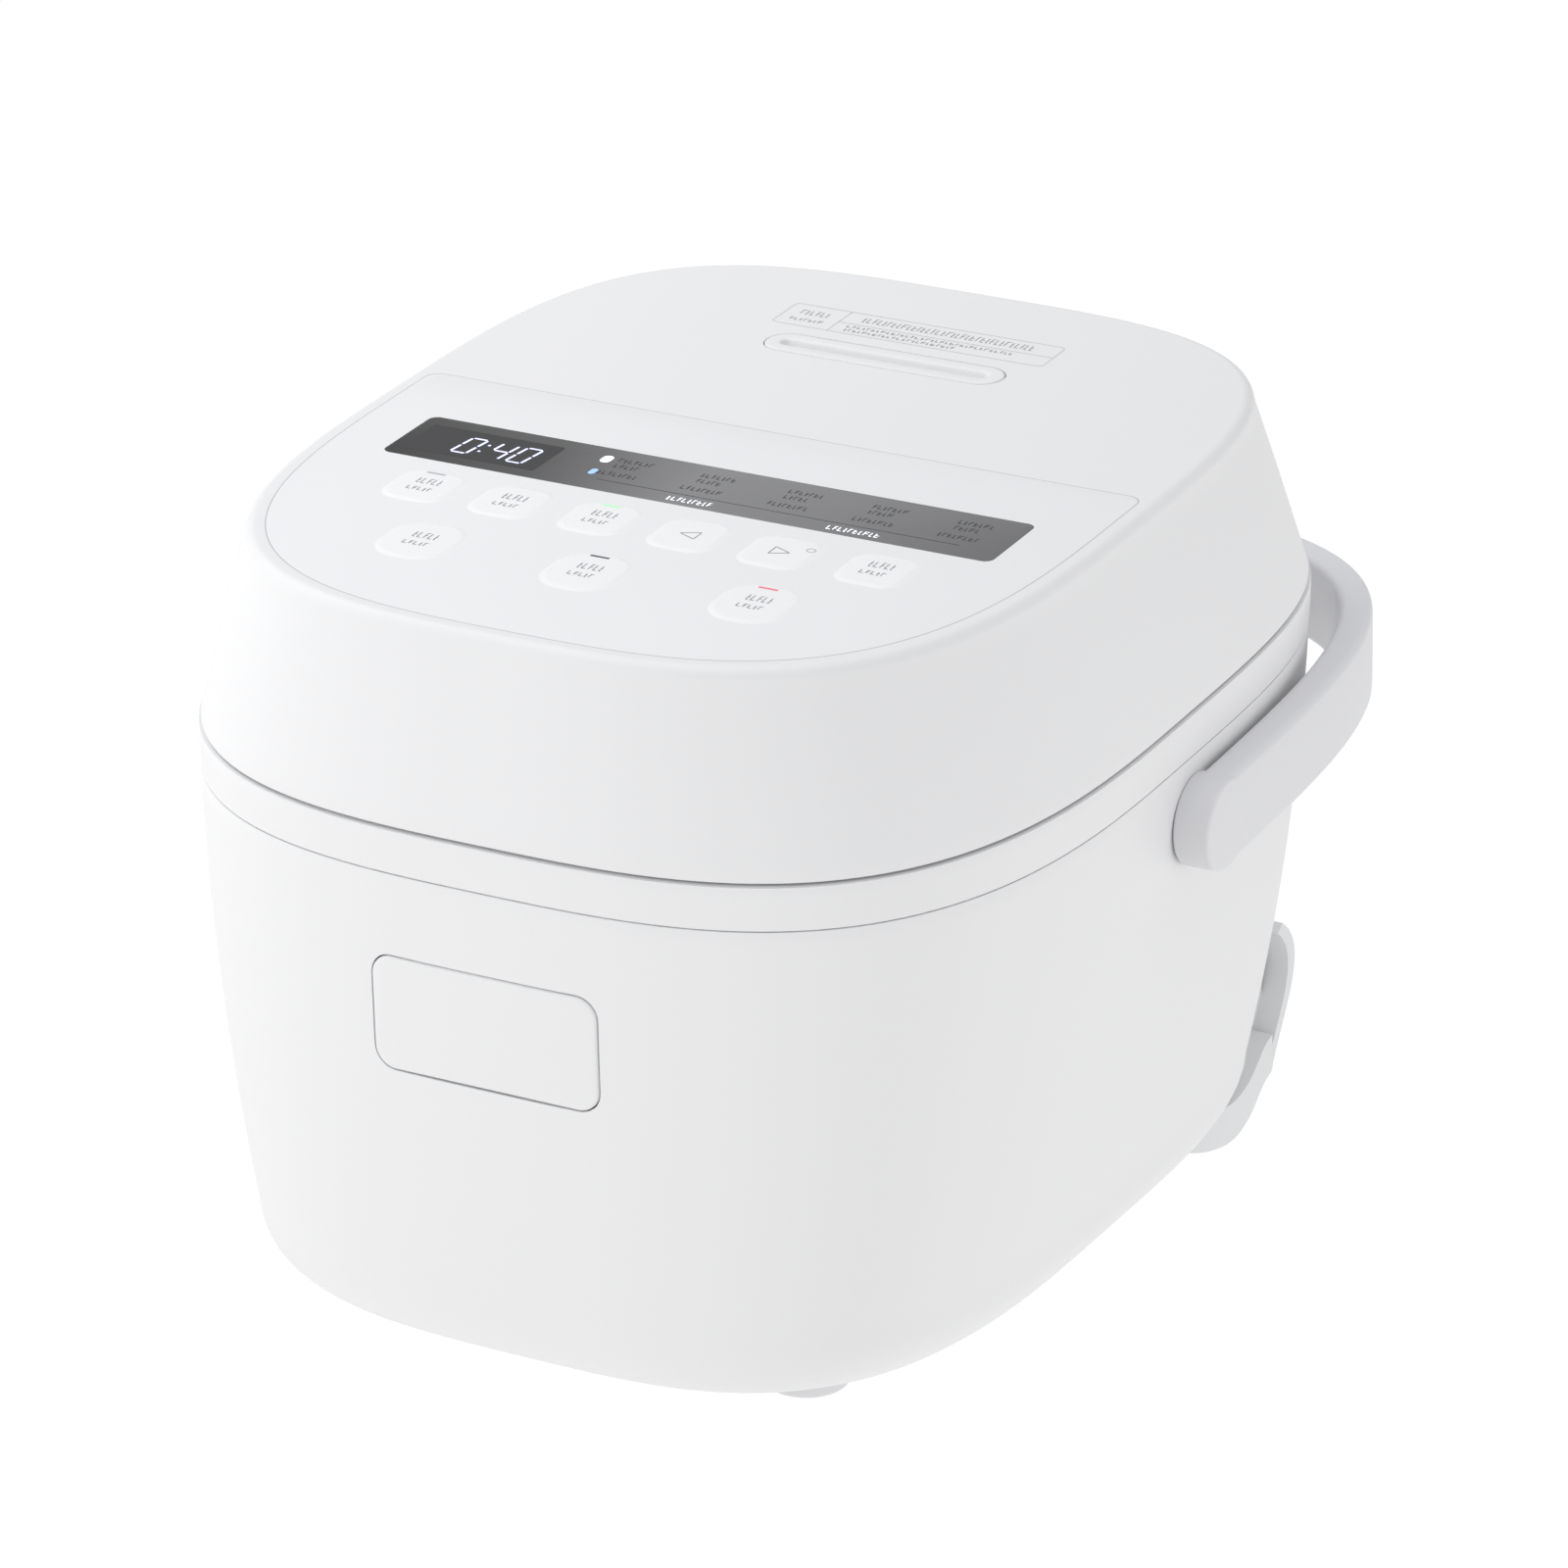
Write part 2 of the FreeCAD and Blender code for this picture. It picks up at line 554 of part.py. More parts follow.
def make_fan_rotor():
    rotor = ring_solid(1.55, 10.0, (FAN_Z[0] + 2.2, FAN_Z[1] - 1.0), FAN_AT)
    rotor = rotor.fuse(ring_solid(0, 10.0, (FAN_Z[1] - 3.0, FAN_Z[1] - 1.0), FAN_AT))
    for k in range(7):
        blade = box((-0.6, 0.6), (9.0, 26.5), (FAN_Z[0] + 3.4, FAN_Z[1] - 2.6))
        blade.rotate(V(0, 0, FAN_Z[0] + 6.0), Y_AXIS, 32)
        blade.rotate(V(0, 0, 0), Z_AXIS, 360 / 7 * k)
        rotor = rotor.fuse(blade.translated(V(FAN_AT[0], FAN_AT[1], 0)))
    return rotor.removeSplitter()


def make_power_board():
    board = box((-66, 66), (-100, -34), (9.0, 10.6))
    for x, y, r, h in ((-50, -50, 6, 11), (-34, -50, 6, 11), (48, -86, 8, 9), (30, -88, 5, 9)):
        board = board.fuse(Part.makeCylinder(r, h, V(x, y, 10.6)))
    return board.fuse(box((36, 62), (-70, -46), (10.6, 21.0)))


def make_heat_sink():
    sink = box((-30, 22), (-97, -71), (10.8, 13.4))
    for k in range(9):
        sink = sink.fuse(box((-30 + 6.3 * k, -28.4 + 6.3 * k), (-97, -71), (13.4, 22.0)))
    return sink.removeSplitter()


def make_body_screws():
    """Pan-head screws that hold the bottom cover, between the feet."""
    screws = []
    for x, y in ((-74, 0), (74, 0), (0, -101), (0, 104)):
        head = Part.makeCylinder(3.2, 1.6, V(x, y, 2.3))
        head = head.cut(box((x - 2.4, x + 2.4), (y - 0.4, y + 0.4), (2, 3.1)))
        screws.append(head.fuse(Part.makeCylinder(1.5, 5, V(x, y, 3.9))))
    return Part.makeCompound(screws)


# ---- lid ----------------------------------------------------------------------------------
def panel_prism(inset, z):
    """The control panel's plan as a prism in the lid-top frame."""
    rear = PANEL_REAR_Y - inset + PANEL_INSET
    plan = stack([outline(LID_TOP, inset, level(h)) for h in z])
    return plan.common(box((-120, 120), (-140, rear), (z[0] - 1, z[1] + 1)))


def key_prism(row, x, grow, z):
    size_x, size_y, corner = KEY_SIZE[row]
    return rounded_plate(size_x + 2 * grow, size_y + 2 * grow, corner + grow, z, (x, KEY_ROWS[row]))


def each_key():
    for row, keys in KEY_X.items():
        for name, x in keys.items():
            yield name, row, x


def window_prism(grow, z):
    half, front, rear = WINDOW
    corner = max(2.5 + grow, 1.0)
    return rounded_plate(2 * (half + grow), rear - front + 2 * grow, corner, z, (0, (front + rear) / 2))


def vent_prism(grow, z):
    return slot_prism(VENT_LENGTH + 2 * grow, VENT_WIDTH + 2 * grow, z, (0, VENT_Y))


def make_lid_shell():
    shell = lid_form(0, 0).common(above(SEAM_Z + SEAM_GAP)).cut(lid_form(LID_WALL, LID_WALL + 0.4))
    shell = shell.cut(onto_lid(panel_prism(PANEL_INSET - 0.15, (-PANEL_T, 5))))
    shell = shell.cut(onto_lid(window_prism(-5, (-6, 1))))
    for _name, row, x in each_key():
        shell = shell.cut(onto_lid(key_prism(row, x, KEY_GAP, (-2.4, 1))))
        shell = shell.cut(onto_lid(ring_solid(0, 2.6, (-8, 1), (x, KEY_ROWS[row]))))
    shell = shell.cut(onto_lid(vent_prism(0.3, (-8, 1))))
    return shell


def make_control_panel():
    panel = panel_prism(PANEL_INSET, (-PANEL_T + 0.02, 0))
    panel = panel.cut(window_prism(0.15, (-3, 2)))
    for _name, row, x in each_key():
        panel = panel.cut(key_prism(row, x, KEY_GAP, (-3, 2)))
    return onto_lid(panel)


def make_key(row, x):
    """Key cap with its stem, which presses the switch on the board."""
    cap = key_prism(row, x, 0, (-1.5, KEY_PROUD))
    top = [e for e in cap.Edges if e.BoundBox.ZMin > KEY_PROUD - 0.01]
    cap = cap.makeFillet(0.3, top)
    stem = ring_solid(0, 2.2, (-6.1, -1.0), (x, KEY_ROWS[row]))
    return onto_lid(cap.fuse(stem))


def make_display_window():
    return onto_lid(window_prism(0, (-PANEL_T + 0.02, 0)))


def make_display_module():
    return onto_lid(box((-80, 80), (-35.5, -15.5), (-8.4, -3.9)))


def make_control_board():
    board = box((-84, 84), (-98, -14), (-10.4, -8.8))
    corner_cut = stack([outline(LID_TOP, 9.5, level(h)) for h in (-12, -8)])
    return onto_lid(board.common(corner_cut))


def make_key_switches():
    switches = []
    for _name, row, x in each_key():
        switches.append(box((x - 3, x + 3), (KEY_ROWS[row] - 3, KEY_ROWS[row] + 3), (-8.8, -7.0)))
    return onto_lid(Part.makeCompound(switches))


def make_vent_cap():
    """Removable steam cap: a rounded bar with a long outlet slot, and the tongue that holds it."""
    cap = vent_prism(0, (-4.0, 0.2))
    cap = cap.cut(slot_prism(58, 3.0, (-6, 2), (0, VENT_Y)))
    skirt = slot_prism(VENT_LENGTH - 3, VENT_WIDTH - 3, (-9.0, -3.5), (0, VENT_Y))
    skirt = skirt.cut(slot_prism(VENT_LENGTH - 6, VENT_WIDTH - 6, (-10, 0), (0, VENT_Y)))
    return onto_lid(cap.fuse(skirt).cut(slot_prism(58, 3.0, (-12, 2), (0, VENT_Y))))


def make_steam_valve():
    """Cup under the cap that the steam passes, open at the top, with a hole to the inner lid."""
    cup = slot_prism(76, 30, (-44, -3.6), (0, VENT_Y - 4))
    cup = cup.cut(slot_prism(73, 27, (-42, -2), (0, VENT_Y - 4)))
    return onto_lid(cup.cut(ring_solid(0, 6, (-50, -40), (0, VENT_Y - 10))))


def make_lid_frame():
    """Closes the lid from below; carries the inner lid's boss and the hinge knuckles."""
    plate = lid_form(LID_WALL + 0.2, 8).common(above(SEAM_Z + 0.8)).common(below(SEAM_Z + 3.3))
    boss = ring_solid(96, 99, (151.8, 175), (0, POT_Y)).common(below(SEAM_Z + 2.5))
    frame = plate.fuse(boss)
    for lug in both_sides(lid_lug((39, 51))):
        frame = frame.fuse(lug)
    frame = frame.cut(x_cylinder(HINGE_PIN_R + RUNNING_FIT, (-60, 60), HINGE_Y, HINGE_Z))
    frame = frame.cut(box((-7, 7), (POT_Y - 7, POT_Y + 7), (140, 175)))
    return frame.cut(ring_solid(0, 9, (140, 175), (0, VENT_Y - 10))).removeSplitter()


def lid_lug(span):
    lug = x_cylinder(KNUCKLE_R, span, HINGE_Y, HINGE_Z)
    return lug.fuse(box(span, (HINGE_Y - KNUCKLE_R, HINGE_Y - 0.8), (HINGE_Z, HINGE_Z + 5.2)))


def make_inner_lid():
    """Removable plate over the pot, slightly dished, with a row of steam holes."""
    low = [(0, INNER_LID_Z + 1.2), (60, INNER_LID_Z + 1.2), (72, INNER_LID_Z), (INNER_LID_R, INNER_LID_Z)]
    plate = turned(low + [(r, z + INNER_LID_T) for r, z in reversed(low)])
    for k in range(5):
        plate = plate.cut(ring_solid(0, 2.2, (145, 160), (-16 + 8 * k, VENT_Y - 18)))
    return plate


def make_inner_lid_knob():
    top = INNER_LID_Z + 1.15
    return turned([(0, top - 2), (8.5, top - 2), (9, top - 1.5), (9, top), (0, top)])


def make_lid_gasket():
    low, high = GASKET_Z
    lip = [(INNER_LID_R + 0.2, low + 0.7), (96.0, low), (100.3, low), (101.0, low + 0.7)]
    return turned(lip + [(101.0, high - 0.5), (99.2, high), (INNER_LID_R + 0.2, high)])


def make_lid_catch():
    """Steel tongue under the lid's front edge, which the lever's hook holds."""
    tongue = box((-9, 9), (-127.0, -125.4), (136.5, CATCH_FOOT_Z[0]))
    toe = box((-9, 9), (-127.0, -121.6), (136.5, 138.3))
    foot = box((-9, 9), (-127.0, -112.0), CATCH_FOOT_Z)
    return tongue.fuse(toe).fuse(foot).removeSplitter()


def make_lid_heater():
    """Thin heating ring on top of the lid frame's floor."""
    ring = ring_solid(70, 88, (-38.0, -37.0), (0, POT_Y))
    return onto_lid(ring.cut(slot_prism(84, 38, (-45, -30), (0, VENT_Y - 4))))


def make_lid_screws():
    """Screws through the lid frame from below, outside the gasket."""
    screws = []
    for x, y in ((-88, -60), (88, -60), (-88, 60), (88, 60)):
        head = Part.makeCylinder(3.0, 1.5, V(x, y, -50.82))
        screws.append(head.fuse(Part.makeCylinder(1.5, 8.5, V(x, y, -49.5))))
    return onto_lid(Part.makeCompound(screws))


# ---- export ---------------------------------------------------------------------------------
PARTS = {
    "body_shell": make_body_shell,
    "collar_frame": make_collar_frame,
    "bottom_cover": make_bottom_cover,
    "rear_guard": make_rear_guard,
    "rubber_feet": make_rubber_feet,
    "inlet_socket": make_inlet_socket,
    "inlet_pins": make_inlet_pins,
    "handle_bail": make_handle,
    "handle_pins": make_handle_pins,
    "handle_washers": make_handle_washers,
    "latch_button": make_latch_button,
    "latch_lever": make_latch_lever,
    "lever_bracket": make_lever_bracket,
    "lever_pin": make_lever_pin,
    "hinge_shaft": make_hinge_shaft,
    "hinge_spring": make_hinge_spring,
    "inner_pot": make_inner_pot,
    "inner_well": make_inner_well,
    "coil_tray": make_coil_tray,
    "induction_coil": make_induction_coil,
    "ferrite_bars": make_ferrite_bars,
    "sensor_cap": make_sensor_cap,
    "sensor_guide": make_sensor_guide,
    "sensor_spring": make_sensor_spring,
    "fan_housing": make_fan_housing,
    "fan_rotor": make_fan_rotor,
    "power_board": make_power_board,
    "heat_sink": make_heat_sink,
    "body_screws": make_body_screws,
    "lid_shell": make_lid_shell,
    "control_panel": make_control_panel,
    "display_window": make_display_window,
    "display_module": make_display_module,
    "control_board": make_control_board,
    "key_switches": make_key_switches,
    "vent_cap": make_vent_cap,
    "steam_valve": make_steam_valve,
    "lid_frame": make_lid_frame,
    "inner_lid": make_inner_lid,
    "inner_lid_knob": make_inner_lid_knob,
    "lid_gasket": make_lid_gasket,
    "lid_catch": make_lid_catch,
    "lid_heater": make_lid_heater,
    "lid_screws": make_lid_screws,
}

os.makedirs("parts", exist_ok=True)
for part_name, make in PARTS.items():
    export(part_name, make())
for key_name, key_row, key_x in each_key():
    export(key_name, make_key(key_row, key_x))
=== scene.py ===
import json
import math

import bmesh
import bpy
from mathutils import Matrix, Vector


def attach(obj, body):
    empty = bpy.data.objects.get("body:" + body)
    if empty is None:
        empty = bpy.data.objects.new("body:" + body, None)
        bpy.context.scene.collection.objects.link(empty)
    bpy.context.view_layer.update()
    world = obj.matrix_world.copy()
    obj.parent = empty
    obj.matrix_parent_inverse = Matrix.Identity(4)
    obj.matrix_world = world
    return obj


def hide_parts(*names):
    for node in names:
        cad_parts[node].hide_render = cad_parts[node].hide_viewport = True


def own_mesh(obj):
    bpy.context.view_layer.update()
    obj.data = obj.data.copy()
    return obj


# White rice cooker: outer skins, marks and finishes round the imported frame. Metres, +Z up, front -Y.
# Points are given from the middle of the lid seam; SHIFT_Y takes them to the object's frame.

SHIFT_Y = -0.012
TILT = 0.046                     # rise of the lid and its seam towards the rear
TILT_ANGLE = math.atan(TILT)
RING_POINTS = 256

# Plan outlines: half width, half depth, centre y, roundness of front half and of rear half
SEAM = (0.1200, 0.1380, 0.0, 3.0, 3.75)
BASE = (0.1047, 0.1328, 0.0016, 3.26, 3.79)
LID_TOP = (0.1057, 0.1267, -0.0016, 3.08, 3.61)
SEAM_Z = 0.1548
BAND_Z = 0.1432
LID_TOP_Z = 0.2049
BODY_BOTTOM_Z = 0.004
BASE_ROUND_IN = 0.0195
BASE_ROUND_UP = 0.0191
FOOT_Z = BODY_BOTTOM_Z + BASE_ROUND_UP      # where the rounding meets the wall
SIDE_BULGE = 0.233
WALL = 0.0025
LID_WALL = 0.003
SEAM_GAP = 0.0004
LID_EDGE_R = 0.0035

HINGE_Z, HINGE_HALF = 0.1575, 0.070               # lid hinge: height of its shaft, half its length
LATCH_HALF_X = 0.0315
LATCH_Z = (0.0843, 0.1154)
LATCH_CORNER = 0.006
LATCH_GAP = 0.0004

INLET_X, INLET_Z = -0.052, (0.054, 0.078)         # opening in the rear wall for the power inlet
INLET_HALF_X = 0.017
EXHAUST_SLOTS = 10                                # air outlet slots in the rear wall
EXHAUST_X, EXHAUST_STEP = 0.008, 0.006
EXHAUST_Z = (0.052, 0.080)
EXHAUST_HALF_X = 0.0013

HANDLE_Y, HANDLE_Z = 0.008, 0.1265
HANDLE_MID = (0.1249, 0.1576, 4.15)         # half width, reach and roundness of the band's middle
HANDLE_HALF_T = 0.0044
HANDLE_R = 0.012
HANDLE_EDGE_R = 0.0022
HANDLE_TILT = math.radians(3.4)
HUB_X = (0.1194, 0.12936)                          # inner and outer face of the round hubs
HUB_ROUND = 0.0010

PANEL_INSET = 0.0042
PANEL_REAR_Y = 0.0142
PANEL_CORNER = 0.004
PANEL_LIFT = 0.00004
WINDOW = (0.0855, -0.0383, -0.0124, 0.0025)       # half width, front, rear, corner
SCREEN = (-0.0820, -0.0440, -0.0340, -0.0172)     # dark field in the window: x from, to, y from, to
KEY_ROWS = {"front": -0.0848, "rear": -0.0542}
KEY_SIZE = {"rear": (0.0190, 0.0205, 0.0060), "front": (0.0210, 0.0240, 0.0090)}
KEY_X = {
    "rear": {"key_keep_warm": -0.0633, "key_taste": -0.0386, "key_timer": -0.0133,
             "key_down": 0.0117, "key_up": 0.0367, "key_menu": 0.0633},
    "front": {"key_off": -0.0462, "key_quick_cook": 0.0, "key_start": 0.0462},
}
KEY_PROUD = 0.0004
CLOCK = (("0", -0.0668), ("4", -0.0577), ("0", -0.0509))    # digits and the x of their middles
CLOCK_Y, COLON_X = -0.0262, -0.0625
DIGIT_WIDTH, DIGIT_HEIGHT, DIGIT_LEAN = 0.0044, 0.0098, 0.12
MARK_COLUMNS = (-0.0225, 0.0010, 0.0255, 0.0490, 0.0725)    # unlit marks in the window
ARROW_HALF, ARROW_TIP = 0.0022, 0.0026
VENT_Y, VENT_LENGTH, VENT_WIDTH = 0.0714, 0.0684, 0.0124
LABEL = (0.0395, 0.0832, 0.0980)                  # half width, front, rear of the outlined field

SPRING_BASE = (0.0, 0.004, 0.015)                # sensor spring: foot, then its coil
SPRING_R, SPRING_WIRE_R = 0.0106, 0.0005
SPRING_PITCH, SPRING_HEIGHT = 0.003, 0.017

CAMERA_AT = (0.81665, -1.52556, 0.81792)
CAMERA_AZIMUTH = math.radians(28.09)
CAMERA_ELEVATION = math.radians(22.22)
CAMERA_LENS = 167.38

SKY_EVEN = 0.475                 # surround's strength near the horizon, and what it gains overhead
SKY_OVERHEAD = 0.84
FLOOR_HALF = 6.0

WHITE = (0.800, 0.800, 0.806)


# ---- materials --------------------------------------------------------------------------
def finish(name, color, roughness, metallic=0.0, grain=900.0, bump=0.25, spread=0.05, glow=0.0):
    """Procedural material: fine grain drives the roughness, the height and a little of the colour."""
    material = bpy.data.materials.new(name)
    material.use_nodes = True
    tree = material.node_tree
    shader = tree.nodes["Principled BSDF"]
    shader.inputs["Metallic"].default_value = metallic
    place = tree.nodes.new("ShaderNodeTexCoord")
    noise = tree.nodes.new("ShaderNodeTexNoise")
    noise.inputs["Scale"].default_value = grain
    noise.inputs["Detail"].default_value = 4.0
    tree.links.new(place.outputs["Object"], noise.inputs["Vector"])
    polish = tree.nodes.new("ShaderNodeMapRange")
    polish.inputs["To Min"].default_value = max(roughness - spread, 0.02)
    polish.inputs["To Max"].default_value = min(roughness + spread, 1.0)
    tree.links.new(noise.outputs["Fac"], polish.inputs["Value"])
    tree.links.new(polish.outputs["Result"], shader.inputs["Roughness"])
    relief = tree.nodes.new("ShaderNodeBump")
    relief.inputs["Strength"].default_value = bump
    relief.inputs["Distance"].default_value = 0.00001
    tree.links.new(noise.outputs["Fac"], relief.inputs["Height"])
    tree.links.new(relief.outputs["Normal"], shader.inputs["Normal"])
    tint = tree.nodes.new("ShaderNodeMix")
    tint.data_type = "RGBA"
    tint.inputs[6].default_value = (*[c * 0.985 for c in color], 1.0)
    tint.inputs[7].default_value = (*color, 1.0)
    tree.links.new(noise.outputs["Fac"], tint.inputs[0])
    tree.links.new(tint.outputs[2], shader.inputs["Base Color"])
    if glow > 0:
        shader.inputs["Emission Color"].default_value = (*color, 1.0)
        shader.inputs["Emission Strength"].default_value = glow
    return material


def window_finish_painted_reflection():
    """Smoked window with a painted reflection: darker towards both ends, lighter in the middle, the greys
    standing in for reflected light.
    """
    material = finish("smoked_window_painted_reflection", (0.1, 0.1, 0.1), 0.12, bump=0.05)
    tree = material.node_tree
    shader = tree.nodes["Principled BSDF"]
    place = tree.nodes["Texture Coordinate"]
    split = tree.nodes.new("ShaderNodeSeparateXYZ")
    tree.links.new(place.outputs["Object"], split.inputs["Vector"])
    along = tree.nodes.new("ShaderNodeMapRange")
    along.inputs["From Min"].default_value = -WINDOW[0]
    along.inputs["From Max"].default_value = WINDOW[0]
    tree.links.new(split.outputs["X"], along.inputs["Value"])
    # painted reflection: the grey steps along x paint the light that the glossy window reflects
    ramp = tree.nodes.new("ShaderNodeValToRGB")
    stops = ((0.0, 0.010), (0.24, 0.062), (0.48, 0.215), (0.72, 0.190), (1.0, 0.125))
    while len(ramp.color_ramp.elements) < len(stops):
        ramp.color_ramp.elements.new(0.5)
    for element, (at, grey) in zip(ramp.color_ramp.elements, stops):
        element.position = at
        element.color = (grey, grey, grey * 1.03, 1.0)
    tree.links.new(along.outputs["Result"], ramp.inputs["Fac"])
    tree.links.new(ramp.outputs["Color"], shader.inputs["Base Color"])
    return material


def make_finishes():
    return {
        "gloss_white": finish("white_plastic", WHITE, 0.42, grain=1400.0, bump=0.2),
        "panel_white": finish("panel_white", (0.815, 0.822, 0.835), 0.30, grain=2200.0, bump=0.12),
        # painted highlight and glow: the keys are the panel's white made lighter with a faint emission,
        # standing in for the light the raised pads catch
        "key_white_painted_glow": finish("key_white_painted_glow", (0.850, 0.855, 0.865), 0.38, grain=2200.0, bump=0.12, glow=0.02),
        "vent_white": finish("vent_white", (0.80, 0.80, 0.81), 0.4, bump=0.2),
        "guard_grey": finish("guard_grey", (0.76, 0.765, 0.77), 0.5, bump=0.4),
        # painted shade: the bail is the body's white plastic made darker to stand in for the shade on it
        "handle_white_painted_shade": finish("handle_white_painted_shade", (0.71, 0.71, 0.73), 0.42, grain=1400.0, bump=0.2),
        # the window's finish carries a painted reflection along x
        "dark_window": window_finish_painted_reflection(),
        "foot_rubber": finish("foot_rubber", (0.74, 0.74, 0.75), 0.7, bump=0.6),
        "gasket_rubber": finish("gasket_rubber", (0.30, 0.31, 0.33), 0.5, bump=0.4),
        "grey_plastic": finish("grey_plastic", (0.55, 0.56, 0.58), 0.5, bump=0.4),
        "black_plastic": finish("black_plastic", (0.025, 0.025, 0.028), 0.5, bump=0.5),
        "steel": finish("steel", (0.60, 0.60, 0.61), 0.3, metallic=1.0, bump=0.3),
        "contact_brass": finish("contact_brass", (0.75, 0.58, 0.28), 0.3, metallic=1.0, bump=0.3),
        "pot_metal": finish("pot_coating", (0.035, 0.035, 0.037), 0.36, grain=700.0, bump=0.5),
        "inner_lid_aluminium": finish("satin_aluminium", (0.50, 0.50, 0.51), 0.38, metallic=1.0, bump=0.3),
        "copper": finish("enamelled_copper", (0.62, 0.28, 0.14), 0.35, metallic=0.8, bump=0.6),
        "ferrite": finish("ferrite", (0.05, 0.05, 0.055), 0.7, bump=0.8),
        "circuit_board": finish("circuit_board", (0.03, 0.20, 0.09), 0.4, bump=0.5),
        "line_grey": finish("line_grey", (0.50, 0.50, 0.53), 0.5, bump=0.1),
        "line_faint": finish("line_faint", (0.50, 0.50, 0.53), 0.5, bump=0.1),
        "notice_grey": finish("notice_grey", (0.27, 0.27, 0.30), 0.5, bump=0.1),
        "mark_grey": finish("mark_grey", (0.28, 0.28, 0.31), 0.5, bump=0.1),
        "mark_dim": finish("mark_dim", (0.035, 0.035, 0.038), 0.5, bump=0.1),
        "screen_black": finish("screen_black", (0.012, 0.012, 0.014), 0.15, bump=0.05),
        "lit_digit": finish("lit_digit", (0.66, 0.68, 1.0), 0.5, bump=0.05, glow=0.85),
        "lit_white": finish("lit_white", (0.92, 0.95, 1.0), 0.5, bump=0.05, glow=0.9),
        "lit_blue": finish("lit_blue", (0.30, 0.48, 0.90), 0.5, bump=0.05, glow=0.5),
        "lit_green": finish("lit_green", (0.36, 0.85, 0.42), 0.5, bump=0.05, glow=0.35),
        "lit_red": finish("lit_red", (0.80, 0.16, 0.20), 0.5, bump=0.05, glow=0.2),
        "bar_dark": finish("bar_dark", (0.08, 0.08, 0.10), 0.5, bump=0.1),
        "bar_grey": finish("bar_grey", (0.50, 0.50, 0.54), 0.5, bump=0.1),
    }


# ---- meshes -----------------------------------------------------------------------------
def new_mesh(name, points, faces, sharp_deg=32.0):
    """Mesh from points given about the seam's middle, smooth but for its sharp edges."""
    mesh = bpy.data.meshes.new(name)
    mesh.from_pydata([(x, y + SHIFT_Y, z) for x, y, z in points], [], faces)
    piece = bpy.data.objects.new(name, mesh)
    bpy.context.scene.collection.objects.link(piece)
    settle(mesh, sharp_deg)
    return piece


def settle(mesh, sharp_deg=32.0):
    work = bmesh.new()
    work.from_mesh(mesh)
    bmesh.ops.remove_doubles(work, verts=work.verts, dist=1e-7)
    bmesh.ops.recalc_face_normals(work, faces=work.faces)
    limit = math.radians(sharp_deg)
    for face in work.faces:
        face.smooth = True
    for edge in work.edges:
        edge.smooth = len(edge.link_faces) == 2 and edge.calc_face_angle(0.0) < limit
    work.to_mesh(mesh)
    work.free()
    mesh.update()


def skin(name, rings, first=True, last=True, loop=False, sharp_deg=32.0):
    """Closed bands of faces through a stack of rings, with end caps or the ends joined."""
    count = len(rings[0])
    faces = []
    for i in range(len(rings) if loop else len(rings) - 1):
        low, high = i * count, (i + 1) % len(rings) * count
        for k in range(count):
            after = (k + 1) % count
            faces.append((low + k, low + after, high + after, high + k))
    if first and not loop:
        faces.append(tuple(reversed(range(count))))
    if last and not loop:
        faces.append(tuple(range((len(rings) - 1) * count, len(rings) * count)))
    return new_mesh(name, [point for ring in rings for point in ring], faces, sharp_deg)


def dress(piece, finishes, look, slot, body, *stands_for):
    """Gives a piece its finish, sets what it moves with and which CAD nodes it stands for; slot is not
    used.
    """
    piece.data.materials.clear()
    piece.data.materials.append(finishes[look])
    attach(piece, body)
    if stands_for:
        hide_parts(*stands_for)
    return piece


def cut_away(piece, cutter):
    """Cuts a hole and removes the cutter."""
    change = piece.modifiers.new("hole", "BOOLEAN")
    change.operation = "DIFFERENCE"
    change.solver = "EXACT"
    change.object = cutter
    evaluated = piece.evaluated_get(bpy.context.evaluated_depsgraph_get())
    result = bpy.data.meshes.new_from_object(evaluated)
    piece.modifiers.clear()
    piece.data = result
    bpy.data.objects.remove(cutter)
    settle(result)


def lerp(a, b, w):
    return tuple(p * (1 - w) + q * w for p, q in zip(a, b))


def outline_point(dims, inset, angle):
    """Point on a rounded-rectangle outline |x/a|^n + |y/b|^n = 1."""
    half_x, half_y, mid_y, n_front, n_rear = dims
    c, s = math.cos(angle), math.sin(angle)
    n = n_front if s < 0 else n_rear
    r = (abs(c / (half_x - inset)) ** n + abs(s / (half_y - inset)) ** n) ** (-1 / n)
    return r * c, mid_y + r * s


def angles(count=RING_POINTS):
    return [2 * math.pi * k / count for k in range(count)]


def flat_ring(dims, inset, z):
    return [(*outline_point(dims, inset, angle), z) for angle in angles()]


def wall_dims(t):
    """The body's outline at share t of the way from its foot to the seam."""
    t = min(max(t, 0.0), 1.1)
    return lerp(BASE, SEAM, t + SIDE_BULGE * 4 * t * (1 - t))


def body_ring(share_of_y, inset):
    """Ring on the body's wall; share_of_y gives t for each y."""
    ring = []
    for angle in angles():
        y = outline_point(SEAM, 0, angle)[1]
        t = share_of_y(y)
        x, y = outline_point(wall_dims(t), inset, angle)
        t = share_of_y(y)
        x, y = outline_point(wall_dims(t), inset, angle)
        ring.append((x, y, FOOT_Z + t * (SEAM_Z - FOOT_Z + TILT * y)))
    return ring


def share_at(z_level):
    """Share t at which the wall meets the tilted plane through z_level."""
    return lambda y: (z_level - FOOT_Z + TILT * y) / (SEAM_Z - FOOT_Z + TILT * y)


